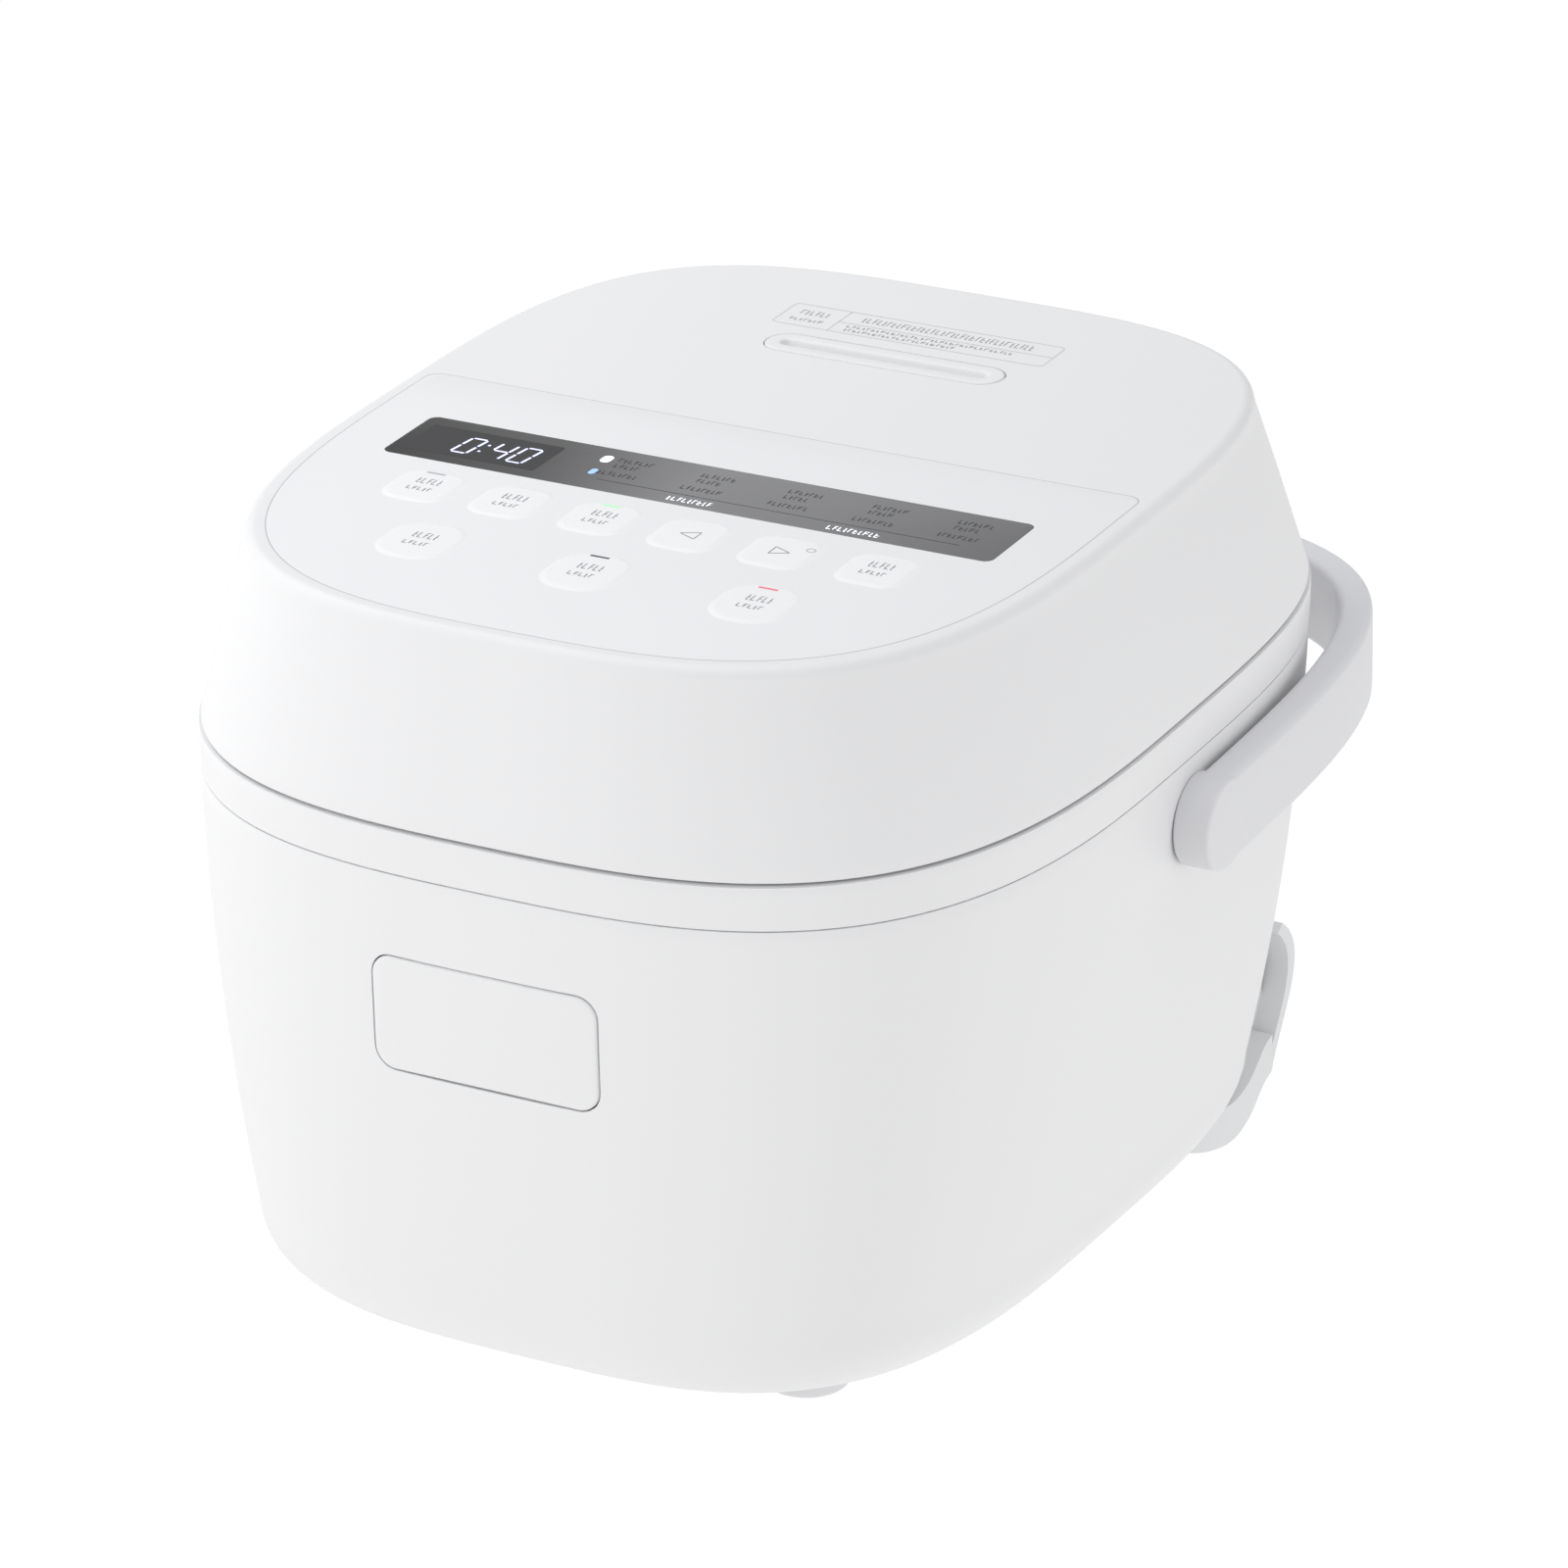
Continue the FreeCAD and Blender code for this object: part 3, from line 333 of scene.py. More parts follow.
def lid_ring(z_level, inset):
    """Ring on the lid's wall where it meets the tilted plane through z_level."""
    start, middle, shoulder = SEAM_Z - 0.001, (SEAM_Z + LID_TOP_Z) / 2, LID_TOP_Z - LID_EDGE_R
    shoulder_w = 1 - LID_EDGE_R / (LID_TOP_Z - SEAM_Z)
    if z_level < middle:
        w = 0.5 * (z_level - start) / (middle - start)
    else:
        w = 0.5 + (shoulder_w - 0.5) * (min(z_level, shoulder) - middle) / (shoulder - middle)
    dims = lerp(SEAM, LID_TOP, w)
    ring = []
    for angle in angles():
        x, y = outline_point(dims, inset, angle)
        ring.append((x, y, z_level + TILT * y))
    return ring


def on_lid(x, y, h):
    """Point of the lid-top frame: h is the height over the lid's top face."""
    c, s = math.cos(TILT_ANGLE), math.sin(TILT_ANGLE)
    return x, y * c - h * s, LID_TOP_Z + y * s + h * c


def rounded_outline(half_x, half_y, corner, centre=(0.0, 0.0), steps=8):
    """Points of a rectangle with round corners."""
    points = []
    corner = min(corner, half_x, half_y)
    for quadrant, (sx, sy) in enumerate(((1, 1), (-1, 1), (-1, -1), (1, -1))):
        for step in range(steps + 1):
            angle = math.pi / 2 * (quadrant + step / steps)
            x = centre[0] + sx * (half_x - corner) + corner * math.cos(angle)
            y = centre[1] + sy * (half_y - corner) + corner * math.sin(angle)
            points.append((x, y))
    return points


def lid_stack(name, layers, sharp_deg=32.0):
    """Piece on the lid through (outline, height) layers."""
    return skin(name, [[on_lid(x, y, h) for x, y in points] for points, h in layers], sharp_deg=sharp_deg)


# ---- body -------------------------------------------------------------------------------
def front_y(x, z, inset=0.0):
    """Front face of the body at x and z."""
    y = -SEAM[1]
    for _ in range(3):
        t = (z - FOOT_Z) / (SEAM_Z - FOOT_Z + TILT * y)
        half_x, half_y, mid_y, n, _n_rear = wall_dims(t)
        y = mid_y - (half_y - inset) * (1 - abs(x / (half_x - inset)) ** n) ** (1 / n)
    return y


def wall_cutter(middle_x, half_x, z_span, corner, y_span):
    """Rounded block that cuts an opening through the front or the rear wall."""
    middle_z = (z_span[0] + z_span[1]) / 2
    plan = rounded_outline(half_x, (z_span[1] - z_span[0]) / 2, corner)
    return skin("cutter", [[(middle_x + x, y, middle_z + z) for x, z in plan] for y in y_span])


def make_body(finishes):
    edge = BAND_Z - 0.00015
    rings = [flat_ring(BASE, BASE_ROUND_IN + 0.004, BODY_BOTTOM_Z)]
    for step in range(11):
        angle = math.radians(90 - 9 * step)
        drawn_in = BASE_ROUND_IN * (1 - math.cos(angle))
        rings.append(flat_ring(BASE, drawn_in, BODY_BOTTOM_Z + BASE_ROUND_UP * (1 - math.sin(angle))))
    wall_top = share_at(edge - 0.0004)
    for step in range(1, 25):
        rings.append(body_ring(lambda y, f=step / 24: f * wall_top(y), 0))
    rings.append(body_ring(share_at(edge - 0.0001), 0.00012))
    rings.append(body_ring(share_at(edge), 0.0004))
    rings.append(body_ring(share_at(edge), WALL))
    for step in range(12, -1, -1):
        rings.append(body_ring(lambda y, f=step / 12: f * wall_top(y), WALL))
    rings.append(flat_ring(BASE, BASE_ROUND_IN + 0.004, BODY_BOTTOM_Z + WALL))
    shell = skin("body_skin", rings, loop=True)
    cut_away(shell, wall_cutter(0.0, LATCH_HALF_X, LATCH_Z, LATCH_CORNER, (-0.150, -0.128)))
    cut_away(shell, wall_cutter(INLET_X, INLET_HALF_X, INLET_Z, 0.0005, (0.120, 0.145)))
    for k in range(EXHAUST_SLOTS):
        x = EXHAUST_X + EXHAUST_STEP * k
        cut_away(shell, wall_cutter(x, EXHAUST_HALF_X, EXHAUST_Z, 0.0012, (0.120, 0.145)))
    dress(shell, finishes, "gloss_white", "gloss_white", "housing", "body_shell")


def make_collar_skin(finishes):
    """Thin outer face of the band under the seam, lowered behind where the lid's hinge edge turns."""
    low, top = BAND_Z + 0.00015, SEAM_Z - SEAM_GAP
    proud = -0.00006

    def with_groove(ring):
        lowered = []
        for x, y, z in ring:
            if y > 0.10 and abs(x) < HINGE_HALF:
                z = min(z, HINGE_Z - 0.0045)
            lowered.append((x, y, z))
        return lowered

    rings = [body_ring(share_at(low), 0.002)]
    rings.append(body_ring(share_at(low), 0.0003 + proud))
    rings.append(body_ring(share_at(low + 0.0003), proud))
    for step in range(1, 5):
        rings.append(with_groove(body_ring(share_at(low + (top - low - 0.0006) * step / 4), proud)))
    rings.append(with_groove(body_ring(share_at(top - 0.0001), 0.00018 + proud)))
    rings.append(with_groove(body_ring(share_at(top + 0.00005), 0.0006 + proud)))
    rings.append(with_groove(body_ring(share_at(top + 0.00005), 0.0029)))
    band = skin("collar_skin", rings, loop=True)
    dress(band, finishes, "gloss_white", "gloss_white", "housing")


def make_latch(finishes):
    """Release pad: follows the body's face, 0.5 mm proud, with soft edges."""
    middle_z = (LATCH_Z[0] + LATCH_Z[1]) / 2
    half_z = (LATCH_Z[1] - LATCH_Z[0]) / 2 - LATCH_GAP
    half_x = LATCH_HALF_X - LATCH_GAP
    rings = []
    for inset, proud in ((0.0, -0.003), (0.0, -0.0002), (0.0001, 0.0001), (0.0003, 0.00032),
                         (0.0006, 0.00046), (0.0010, 0.0005), (0.0030, 0.0005), (0.006, 0.0005),
                         (0.009, 0.0005), (0.012, 0.0005), (0.0145, 0.0005)):
        corner = max(LATCH_CORNER - LATCH_GAP - inset, 0.0004)
        plan = rounded_outline(half_x - inset, half_z - inset, corner)
        rings.append([(x, front_y(x, middle_z + z) - proud, middle_z + z) for x, z in plan])
    pad = skin("latch_pad", rings, sharp_deg=50.0)
    dress(pad, finishes, "gloss_white", "gloss_white", "latch_button", "latch_button")


def handle_path(count=160):
    """Stations along the band's middle from hub to hub: point and outward direction."""
    half_x, reach, n = HANDLE_MID
    stations = [(half_x, HANDLE_Y, 1.0, 0.0)]
    for k in range(1, count):
        angle = math.pi * k / count
        c, s = math.cos(angle), math.sin(angle)
        r = (abs(c / half_x) ** n + abs(s / reach) ** n) ** (-1 / n)
        x, y = r * c, r * s
        if y > HANDLE_Y + 0.001:
            gx = abs(x / half_x) ** (n - 1) / half_x * (1 if x >= 0 else -1)
            gy = abs(y / reach) ** (n - 1) / reach
            length = math.hypot(gx, gy)
            stations.append((x, y, gx / length, gy / length))
    stations.append((-half_x, HANDLE_Y, -1.0, 0.0))
    return stations


def hub_disc(side, count=72):
    """Round hub at one end of the bail, with softly rounded rims."""
    inner, outer = HUB_X
    profile = []
    for step in range(5):
        angle = math.radians(90 * step / 4)
        shrink = HUB_ROUND * (1 - math.sin(angle))
        profile.append((inner + HUB_ROUND * (1 - math.cos(angle)), HANDLE_R - shrink))
    for step in range(5):
        angle = math.radians(90 * step / 4)
        shrink = HUB_ROUND * (1 - math.cos(angle))
        profile.append((outer - HUB_ROUND * (1 - math.sin(angle)), HANDLE_R - shrink))
    rings = []
    for x, r in profile:
        ring = []
        for k in range(count):
            turn = 2 * math.pi * k / count
            ring.append((side * x, HANDLE_Y + r * math.cos(turn), HANDLE_Z + r * math.sin(turn)))
        rings.append(ring)
    return skin("handle_hub", rings)


def make_handle(finishes):
    """Folded bail: a rounded strip swept round the rear between two round hubs."""
    c, s = math.cos(HANDLE_TILT), math.sin(HANDLE_TILT)
    section = rounded_outline(HANDLE_HALF_T, HANDLE_R, HANDLE_EDGE_R, steps=6)
    rings = []
    for x, y, out_x, out_y in handle_path():
        ring = []
        for across, up in section:
            px, py = x + across * out_x, y + across * out_y
            dy = py - HANDLE_Y
            ring.append((px, HANDLE_Y + dy * c - up * s, HANDLE_Z + dy * s + up * c))
        rings.append(ring)
    bail = skin("handle_skin", rings, sharp_deg=60.0)
    # the bail and its hubs take the darkened copy of the body white: painted shade
    dress(bail, finishes, "handle_white_painted_shade", "gloss_white", "handle", "handle_bail")
    for side in (-1, 1):
        dress(hub_disc(side), finishes, "handle_white_painted_shade", "gloss_white", "handle")


# ---- lid --------------------------------------------------------------------------------
def make_lid(finishes):
    low = SEAM_Z + SEAM_GAP
    rings = [lid_ring(low + 0.0005, LID_WALL), lid_ring(low, LID_WALL - 0.0004), lid_ring(low, 0.0007)]
    for step in range(1, 4):
        angle = math.radians(30 * step)
        rings.append(lid_ring(low + 0.0007 * (1 - math.cos(angle)), 0.0007 * (1 - math.sin(angle))))
    for step in range(1, 17):
        rings.append(lid_ring(low + 0.0007 + (LID_TOP_Z - LID_EDGE_R - low - 0.0007) * step / 16, 0))
    for step in range(1, 9):
        angle = math.radians(90 * step / 8)
        z = LID_TOP_Z - LID_EDGE_R * (1 - math.sin(angle))
        rings.append(lid_ring(z, 0.8 * LID_EDGE_R * (1 - math.cos(angle))))
    for inset in (0.0034, 0.012, 0.03):
        rings.append(lid_ring(LID_TOP_Z, inset))
    top = skin("lid_skin", rings, first=False)
    inner = []
    for step in range(7):
        inner.append(lid_ring(low + 0.0005 + (LID_TOP_Z - 0.0045 - low) * step / 6, LID_WALL))
    inner.append(lid_ring(LID_TOP_Z - 0.0034, 0.012))
    lining = skin("lid_lining", inner, first=False)
    join(top, lining)
    half_x, half_y = VENT_LENGTH / 2 + 0.0003, VENT_WIDTH / 2 + 0.0003
    hole = rounded_outline(half_x, half_y, half_y, (0, VENT_Y))
    cutter = lid_stack("cutter", [(hole, -0.008), (hole, 0.002)])
    cut_away(top, cutter)
    dress(top, finishes, "gloss_white", "gloss_white", "lid", "lid_shell")


def join(piece, other):
    """Merges other into piece; vertices at the same place are welded."""
    work = bmesh.new()
    work.from_mesh(piece.data)
    work.from_mesh(other.data)
    work.to_mesh(piece.data)
    work.free()
    bpy.data.objects.remove(other)
    settle(piece.data)


def panel_outline(inset, count=220):
    """The lid top's outline drawn in by inset and cut straight across at the rear."""
    rear = PANEL_REAR_Y - inset
    half = abs(outline_point(LID_TOP, PANEL_INSET + inset, 0.06)[0])
    start = math.atan2(rear - PANEL_CORNER - LID_TOP[2], half)
    points = []
    for k in range(count + 1):
        angle = start - (math.pi + 2 * start) * k / count
        points.append(outline_point(LID_TOP, PANEL_INSET + inset, angle))
    left, right = points[-1], points[0]
    for step in range(1, 9):
        angle = math.radians(180 - 90 * step / 8)
        x = left[0] + PANEL_CORNER * (1 + math.cos(angle))
        points.append((x, left[1] + PANEL_CORNER * math.sin(angle)))
    for step in range(0, 8):
        angle = math.radians(90 - 90 * step / 8)
        x = right[0] - PANEL_CORNER * (1 - math.cos(angle))
        points.append((x, right[1] + PANEL_CORNER * math.sin(angle)))
    return points


def make_panel(finishes):
    layers = [(panel_outline(0.00016), -0.0002), (panel_outline(0.00016), PANEL_LIFT * 0.4)]
    layers.append((panel_outline(0.00028), PANEL_LIFT))
    panel = lid_stack("panel_skin", layers)
    dress(panel, finishes, "panel_white", "panel_white", "lid", "control_panel")
    seam = strip("panel_seam", panel_outline(-0.00012), panel_outline(0.00022), 0.00001)
    dress(seam, finishes, "line_grey", "panel_white", "lid")


def strip(name, outer, inner, h):
    """Flat band on the lid between two outlines of the same number of points."""
    count = len(outer)
    points = [on_lid(x, y, h) for x, y in outer + inner]
    faces = [(k, (k + 1) % count, count + (k + 1) % count, count + k) for k in range(count)]
    return new_mesh(name, points, faces)


def quads(name, shapes, h):
    """Flat shapes on the lid, each a list of (x, y), in one mesh."""
    points, faces = [], []
    for shape in shapes:
        faces.append(tuple(range(len(points), len(points) + len(shape))))
        points += [on_lid(x, y, h) for x, y in shape]
    return new_mesh(name, points, faces)


def bar(x, y, half_x, half_y):
    return [(x + sx * half_x, y + sy * half_y) for sx, sy in ((-1, -1), (1, -1), (1, 1), (-1, 1))]


def stroke(a, b, half):
    """Straight line of a given half thickness, with pointed ends like a display segment."""
    dx, dy = b[0] - a[0], b[1] - a[1]
    length = math.hypot(dx, dy)
    ux, uy = dx / length, dy / length
    tip = half * 0.9
    return [a, (a[0] + ux * tip - uy * half, a[1] + uy * tip + ux * half),
            (b[0] - ux * tip - uy * half, b[1] - uy * tip + ux * half), b,
            (b[0] - ux * tip + uy * half, b[1] - uy * tip - ux * half),
            (a[0] + ux * tip + uy * half, a[1] + uy * tip - ux * half)]


SEGMENTS = {"0": "abcdef", "4": "bcfg"}


def digit(symbol, x, y):
    """Leaning seven-segment digit, centre x, y."""
    gap = 0.00022
    corner = {}
    for column, sx in (("l", -0.5), ("r", 0.5)):
        for row, sy in (("t", 0.5), ("m", 0.0), ("b", -0.5)):
            up = sy * DIGIT_HEIGHT
            corner[column + row] = (x + sx * DIGIT_WIDTH + DIGIT_LEAN * up, y + up)
    ends = {"a": ("lt", "rt"), "b": ("rt", "rm"), "c": ("rm", "rb"), "d": ("rb", "lb"),
            "e": ("lb", "lm"), "f": ("lm", "lt"), "g": ("lm", "rm")}
    shapes = []
    for name in SEGMENTS[symbol]:
        a, b = (corner[key] for key in ends[name])
        length = math.hypot(b[0] - a[0], b[1] - a[1])
        ux, uy = (b[0] - a[0]) / length * gap, (b[1] - a[1]) / length * gap
        shapes.append(stroke((a[0] + ux, a[1] + uy), (b[0] - ux, b[1] - uy), 0.00034))
    return shapes


def dashes(x, y, width, height, start=0):
    """A short row of small upright and level ticks that stands in for printed words."""
    shapes = []
    pattern = (0.9, 0.6, 1.1, 0.7, 1.0, 0.5, 0.8)
    at, k = x - width / 2, start
    while at < x + width / 2 - 0.0006:
        size = 0.0011 * pattern[k % len(pattern)]
        size = min(size, x + width / 2 - at)
        thin = 0.00013
        shapes.append(bar(at + size / 2, y - height / 2 * (1 if k % 3 else -1), size / 2, thin))
        shapes.append(bar(at + thin, y, thin, height / 2))
        if k % 2:
            shapes.append(bar(at + size / 2, y, size / 2, thin))
        at += size + 0.00055
        k += 1
    return shapes


def make_window(finishes):
    half, front, rear, corner = WINDOW
    middle, half_y = (0.0, (front + rear) / 2), (rear - front) / 2
    layers = []
    for inset, h in ((0.0, -0.0003), (0.0, PANEL_LIFT), (0.00012, PANEL_LIFT + 0.00003)):
        layers.append((rounded_outline(half - inset, half_y - inset, corner, middle), h))
    window = lid_stack("window_skin", layers)
    dress(window, finishes, "dark_window", "dark_window", "lid", "display_window")
    top = PANEL_LIFT + 0.00003
    x0, x1, y0, y1 = SCREEN
    field = quads("screen_field", [rounded_outline((x1 - x0) / 2, (y1 - y0) / 2, 0.0006,
                                                   ((x0 + x1) / 2, (y0 + y1) / 2), steps=3)], top + 0.00002)
    dress(field, finishes, "screen_black", "dark_window", "lid")
    shapes = []
    for symbol, x in CLOCK:
        shapes += digit(symbol, x, CLOCK_Y)
    for up in (0.0022, -0.0022):
        shapes.append(bar(COLON_X + DIGIT_LEAN * up, CLOCK_Y + up, 0.00035, 0.0004))
    digits = quads("screen_digits", shapes, top + 0.00005)
    dress(digits, finishes, "lit_digit", "dark_window", "lid")
    dim = []
    for k, x in enumerate(MARK_COLUMNS):
        dim += dashes(x, -0.0186, 0.0105, 0.0019, k)
        dim += dashes(x - 0.0012, -0.0222, 0.0070, 0.0019, k + 2)
        dim += dashes(x - 0.0008, -0.0274, 0.0112, 0.0020, k + 1)
    dim.append(bar(0.0235, -0.0318, 0.0505, 0.00011))
    words = quads("window_marks", dim, top + 0.00003)
    dress(words, finishes, "mark_dim", "dark_window", "lid")
    lit = dashes(0.0010, -0.0350, 0.0120, 0.0021, 1) + dashes(0.0470, -0.0350, 0.0150, 0.0021, 2)
    words_lit = quads("window_marks_lit", lit, top + 0.00004)
    dress(words_lit, finishes, "lit_white", "dark_window", "lid")
    lamp = quads("lamp_white", [rounded_outline(0.0014, 0.0022, 0.0014, (-0.0310, -0.0194))], top + 0.00004)
    dress(lamp, finishes, "lit_white", "dark_window", "lid")
    lamp = quads("lamp_blue", [rounded_outline(0.0009, 0.0018, 0.0009, (-0.0302, -0.0279))], top + 0.00004)
    dress(lamp, finishes, "lit_blue", "dark_window", "lid")


def key_marks(name, x, y):
    """Generic marks on one key, (finish, shapes) pairs."""
    if name in ("key_down", "key_up"):
        side = -1 if name == "key_down" else 1
        foot = x - side * ARROW_HALF
        corners = [(foot, y + ARROW_HALF), (foot, y - ARROW_HALF), (x + side * ARROW_TIP, y)]
        lines = [stroke(corners[k], corners[(k + 1) % 3], 0.00014) for k in range(3)]
        if name == "key_up":
            ring = rounded_outline(0.0011, 0.0011, 0.0011, (x + 0.0066, y + 0.0036), steps=3)
            lines += [stroke(ring[k], ring[(k + 1) % len(ring)], 0.0001) for k in range(len(ring))
                      if math.dist(ring[k], ring[(k + 1) % len(ring)]) > 1e-6]
        return [("mark_grey", lines)]
    lines = dashes(x, y + 0.0026, 0.0066, 0.0030, 1) + dashes(x, y - 0.0024, 0.0072, 0.0018, 2)
    marks = [("mark_grey", lines)]
    bars = {"key_keep_warm": "bar_grey", "key_timer": "lit_green", "key_quick_cook": "bar_dark",
            "key_start": "lit_red"}
    if name in bars:
        reach = 0.0078 if name in ("key_keep_warm", "key_timer") else 0.0090
        marks.append((bars[name], [bar(x - 0.0012, y + reach, 0.0026, 0.0004)]))
    return marks


def make_keys(finishes):
    """Soft raised pads, each with its own marks."""
    for row, keys in KEY_X.items():
        size_x, size_y, corner = KEY_SIZE[row]
        y = KEY_ROWS[row]
        for name, x in keys.items():
            layers = []
            for step in range(9):
                f = step / 8
                inset = 0.0022 * f
                h = PANEL_LIFT - 0.00003 + (KEY_PROUD - PANEL_LIFT) * (1 - math.cos(math.pi * f)) / 2
                plan = rounded_outline(size_x / 2 - inset, size_y / 2 - inset, corner - inset, (x, y))
                layers.append((plan, h))
            pad = lid_stack(name + "_pad", [(layers[0][0], -0.0004)] + layers, sharp_deg=60.0)
            # the pads take the lighter, faintly glowing copy of the panel white: painted highlight
            dress(pad, finishes, "key_white_painted_glow", "panel_white", name, name)
            for look, shapes in key_marks(name, x, y):
                marks = quads(f"{name}_{look}", shapes, KEY_PROUD + 0.00001)
                dress(marks, finishes, look, "panel_white", name)


def make_vent(finishes):
    """Steam cap: rounded bar flush with the lid, with a long hollow groove."""
    half_x, half_y = VENT_LENGTH / 2, VENT_WIDTH / 2
    layers = []
    for inset, h in ((0.0, -0.0040), (0.0, -0.0003), (0.0001, 0.0), (0.0003, 0.00015), (0.0006, 0.0002),
                     (0.0036, 0.0002), (0.0041, 0.0001), (0.0044, -0.0003), (0.0047, -0.0010),
                     (0.0051, -0.0016), (0.0056, -0.0020), (0.0060, -0.0021)):
        plan = rounded_outline(half_x - inset, half_y - inset, half_y - inset, (0, VENT_Y), steps=16)
        layers.append((plan, h))
    cap = lid_stack("vent_skin", layers, sharp_deg=75.0)
    dress(cap, finishes, "vent_white", "vent_white", "vent_cap", "vent_cap")


def make_label(finishes):
    """Thin printed frame behind the steam cap, with generic marks."""
    half, front, rear = LABEL
    middle, half_y = (0.0, (front + rear) / 2), (rear - front) / 2
    frame_line = strip("label_frame", rounded_outline(half, half_y, 0.0016, middle, steps=4),
                       rounded_outline(half - 0.00022, half_y - 0.00022, 0.0014, middle, steps=4), 0.00003)
    dress(frame_line, finishes, "line_faint", "gloss_white", "lid")
    divider = -half + 0.0165
    shapes = [bar(divider, middle[1], 0.00011, half_y)]
    shapes.append(bar((divider + half) / 2, middle[1] - 0.0005, (half - divider) / 2, 0.00011))
    lines = quads("label_lines", shapes, 0.00003)
    dress(lines, finishes, "line_faint", "gloss_white", "lid")
    words = dashes(-half + 0.0085, middle[1] + 0.0022, 0.0085, 0.0028, 0)
    words += dashes(-half + 0.0085, middle[1] - 0.0030, 0.0100, 0.0016, 3)
    words += dashes(0.0075, middle[1] + 0.0034, 0.0500, 0.0030, 1)
    words += dashes(0.0045, middle[1] - 0.0024, 0.0480, 0.0013, 2)
    words += dashes(-0.0030, middle[1] - 0.0050, 0.0320, 0.0013, 5)
    marks = quads("label_marks", words, 0.00003)
    dress(marks, finishes, "notice_grey", "gloss_white", "lid")


def make_sensor_spring(finishes):
    """Coil under the pot sensor, built at one fixed length; the real one shortens as the sensor sinks."""
    turn_steps, wire_steps = 30, 10
    rings = []
    for k in range(round(SPRING_HEIGHT / SPRING_PITCH * turn_steps) + 1):
        turn = 2 * math.pi * k / turn_steps
        z = SPRING_BASE[2] + SPRING_PITCH * k / turn_steps
        ring = []
        for step in range(wire_steps):
            angle = 2 * math.pi * step / wire_steps
            r = SPRING_R + SPRING_WIRE_R * math.cos(angle)
            x, y = SPRING_BASE[0] + r * math.cos(turn), SPRING_BASE[1] + r * math.sin(turn)
            ring.append((x, y, z + SPRING_WIRE_R * math.sin(angle)))
        rings.append(ring)
    coil = skin("sensor_coil", rings, sharp_deg=60.0)
    dress(coil, finishes, "steel", "steel", "housing", "sensor_spring")
    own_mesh(coil)


# ---- the frame's own nodes ----------------------------------------------------------------
def dress_frame(frame, finishes):
    """Every CAD node that still shows gets its slot's procedural finish."""
    for part in frame["record"]["subparts"]:
        node = frame["nodes"][part["node"]]
        node.data.materials.clear()
        node.data.materials.append(finishes[part["material_slot"]])


# ---- studio -------------------------------------------------------------------------------
def glowing(name, color, strength):
    material = bpy.data.materials.new(name)
    material.use_nodes = True
    shader = material.node_tree.nodes["Principled BSDF"]
    shader.inputs["Base Color"].default_value = (0.02, 0.02, 0.02, 1.0)
    shader.inputs["Roughness"].default_value = 0.9
    shader.inputs["Specular IOR Level"].default_value = 0.0
    shader.inputs["Emission Color"].default_value = (*color, 1.0)
    shader.inputs["Emission Strength"].default_value = strength
    return material


def softbox(name, where, size, power):
    """Square light that faces the object from (azimuth, elevation, distance)."""
    azimuth, elevation, distance = math.radians(where[0]), math.radians(where[1]), where[2]
    data = bpy.data.lights.new(name, "AREA")
    data.size = size
    data.energy = power
    lamp = bpy.data.objects.new(name, data)
    away = Vector((math.sin(azimuth) * math.cos(elevation), -math.cos(azimuth) * math.cos(elevation),
                   math.sin(elevation)))
    lamp.location = away * distance + Vector((0.0, 0.0, 0.1))
    lamp.rotation_euler = away.to_track_quat("Z", "Y").to_euler()
    lamp.visible_camera = False
    lamp.visible_glossy = False
    bpy.context.scene.collection.objects.link(lamp)


def make_sky(scene):
    """Even pale surround that grows brighter overhead."""
    world = bpy.data.worlds.new("studio")
    scene.world = world
    world.use_nodes = True
    tree = world.node_tree
    sky = tree.nodes["Background"]
    sky.inputs["Color"].default_value = (0.985, 0.99, 1.0, 1.0)
    place = tree.nodes.new("ShaderNodeTexCoord")
    split = tree.nodes.new("ShaderNodeSeparateXYZ")
    tree.links.new(place.outputs["Generated"], split.inputs["Vector"])
    steep = tree.nodes.new("ShaderNodeMath")
    steep.operation = "MAXIMUM"
    steep.inputs[1].default_value = 0.0
    tree.links.new(split.outputs["Z"], steep.inputs[0])
    cube = tree.nodes.new("ShaderNodeMath")
    cube.operation = "POWER"
    cube.inputs[1].default_value = 3.0
    tree.links.new(steep.outputs["Value"], cube.inputs[0])
    total = tree.nodes.new("ShaderNodeMath")
    total.operation = "MULTIPLY_ADD"
    total.inputs[1].default_value = SKY_OVERHEAD
    total.inputs[2].default_value = SKY_EVEN
    tree.links.new(cube.outputs["Value"], total.inputs[0])
    tree.links.new(total.outputs["Value"], sky.inputs["Strength"])


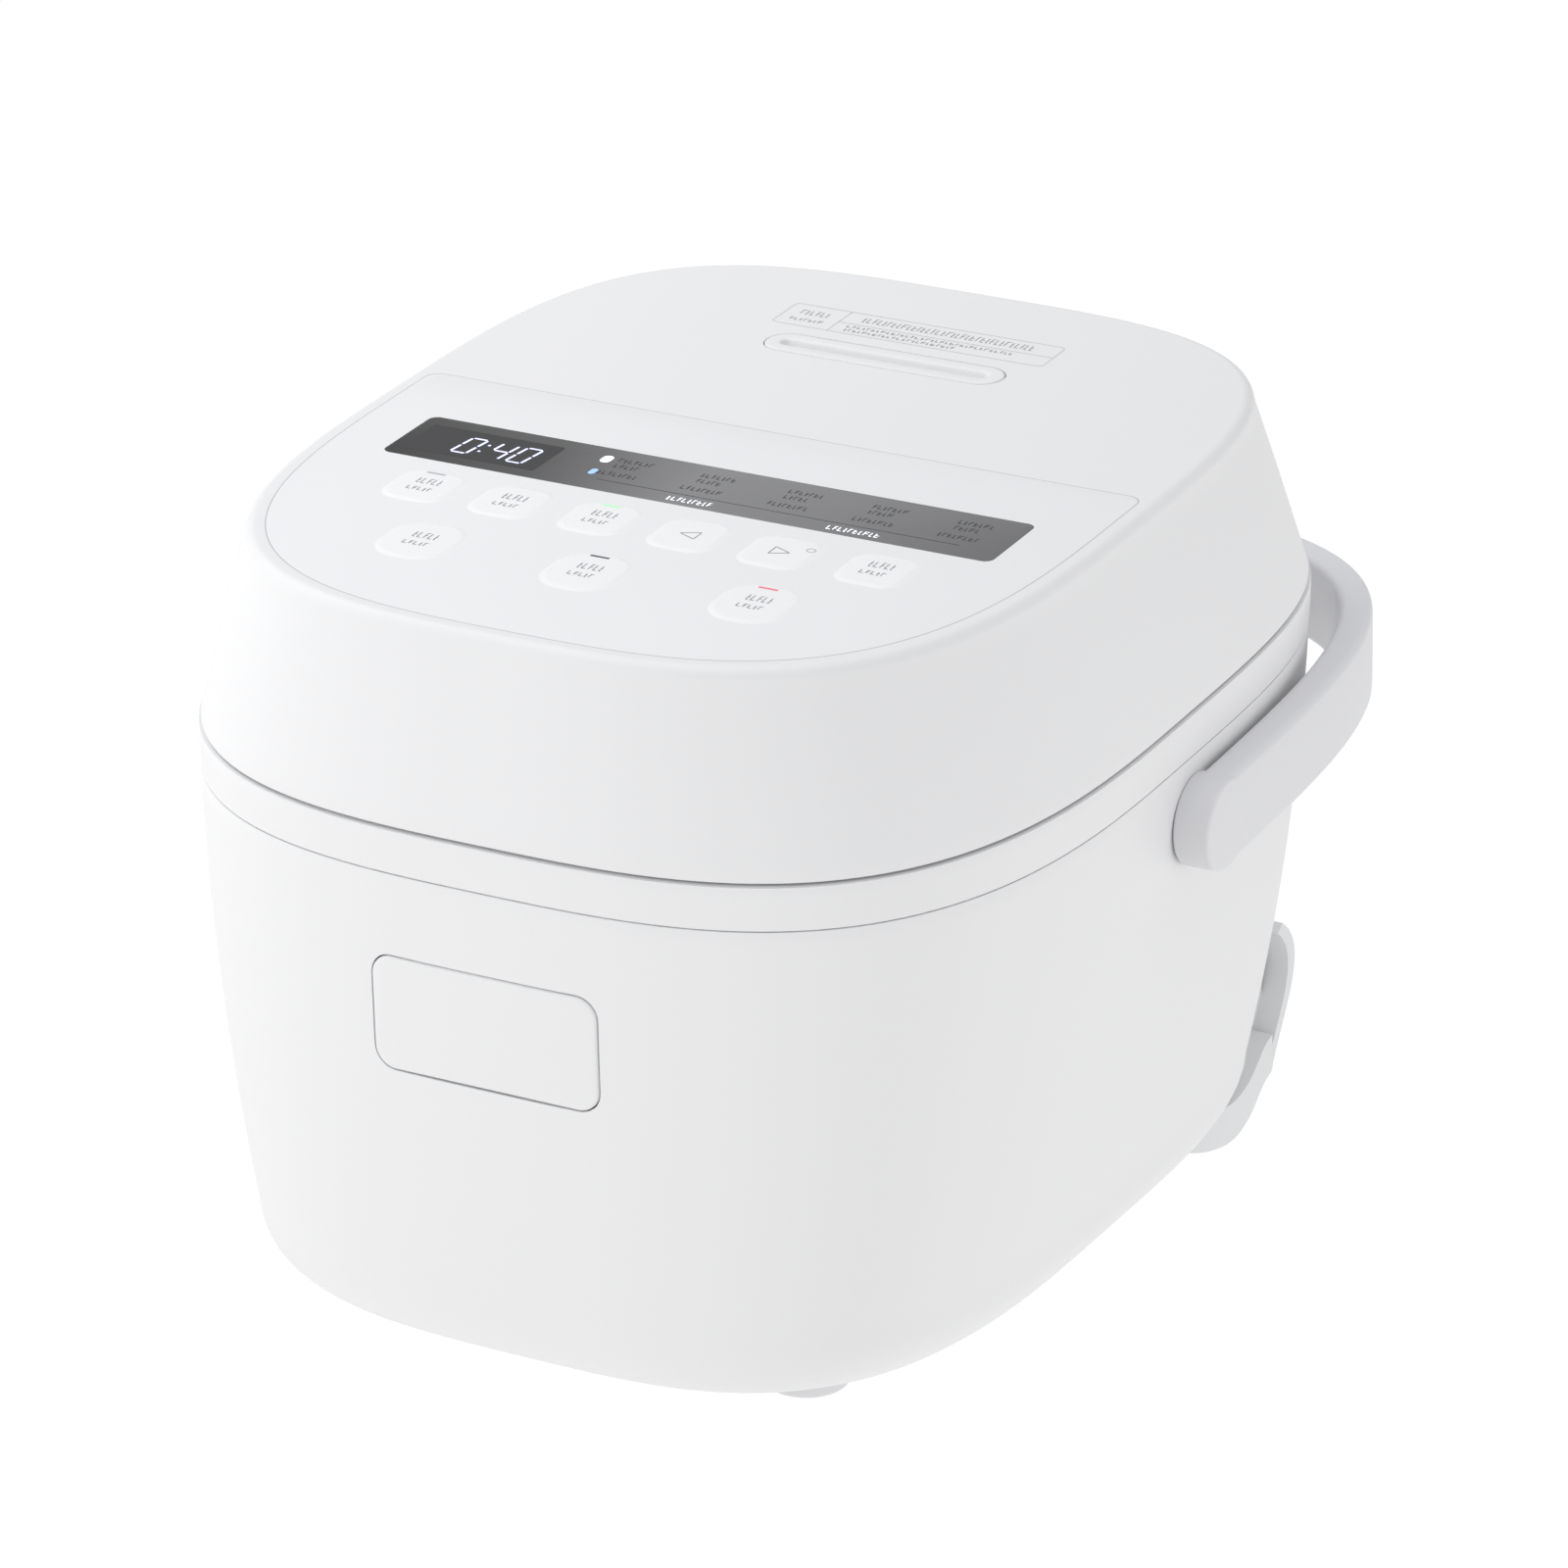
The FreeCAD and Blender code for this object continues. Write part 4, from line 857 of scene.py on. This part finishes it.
def make_studio():
    scene = bpy.context.scene
    mesh = bpy.data.meshes.new("floor")
    corners = [(*point, 0) for point in bar(0, 0, FLOOR_HALF, FLOOR_HALF)]
    mesh.from_pydata(corners, [], [(0, 1, 2, 3)])
    floor = bpy.data.objects.new("floor", mesh)
    scene.collection.objects.link(floor)
    mesh.materials.append(glowing("pale_floor", (1.0, 1.0, 1.0), 1.0))
    make_sky(scene)
    softbox("front_left_box", (-30, 12, 1.0), 0.5, 2.45)
    softbox("right_box", (80, 5, 0.75), 0.4, 0.75)
    softbox("upper_left_box", (-90, 50, 1.0), 0.5, 2.9)
    scene.view_settings.view_transform = "Standard"


def make_camera():
    data = bpy.data.cameras.new("camera")
    data.lens = CAMERA_LENS
    data.sensor_width = 36.0
    camera = bpy.data.objects.new("camera", data)
    azimuth, elevation = CAMERA_AZIMUTH, CAMERA_ELEVATION
    back = Vector((math.sin(azimuth) * math.cos(elevation), -math.cos(azimuth) * math.cos(elevation),
                   math.sin(elevation)))
    right = Vector((math.cos(azimuth), math.sin(azimuth), 0.0))
    up = back.cross(right)
    turn = Matrix((right, up, back)).transposed().to_4x4()
    camera.matrix_world = Matrix.Translation(CAMERA_AT) @ turn
    bpy.context.scene.collection.objects.link(camera)
    bpy.context.scene.camera = camera


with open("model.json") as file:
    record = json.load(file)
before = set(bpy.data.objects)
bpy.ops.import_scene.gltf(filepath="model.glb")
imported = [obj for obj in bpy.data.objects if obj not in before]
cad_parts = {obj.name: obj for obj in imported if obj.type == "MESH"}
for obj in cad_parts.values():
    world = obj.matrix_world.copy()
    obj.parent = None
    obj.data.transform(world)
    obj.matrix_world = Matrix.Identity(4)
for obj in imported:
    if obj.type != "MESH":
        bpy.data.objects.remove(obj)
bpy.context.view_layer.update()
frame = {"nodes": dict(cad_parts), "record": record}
looks = make_finishes()
dress_frame(frame, looks)
make_body(looks)
make_collar_skin(looks)
make_latch(looks)
make_handle(looks)
make_lid(looks)
make_panel(looks)
make_window(looks)
make_keys(looks)
make_vent(looks)
make_label(looks)
make_sensor_spring(looks)
make_studio()
make_camera()
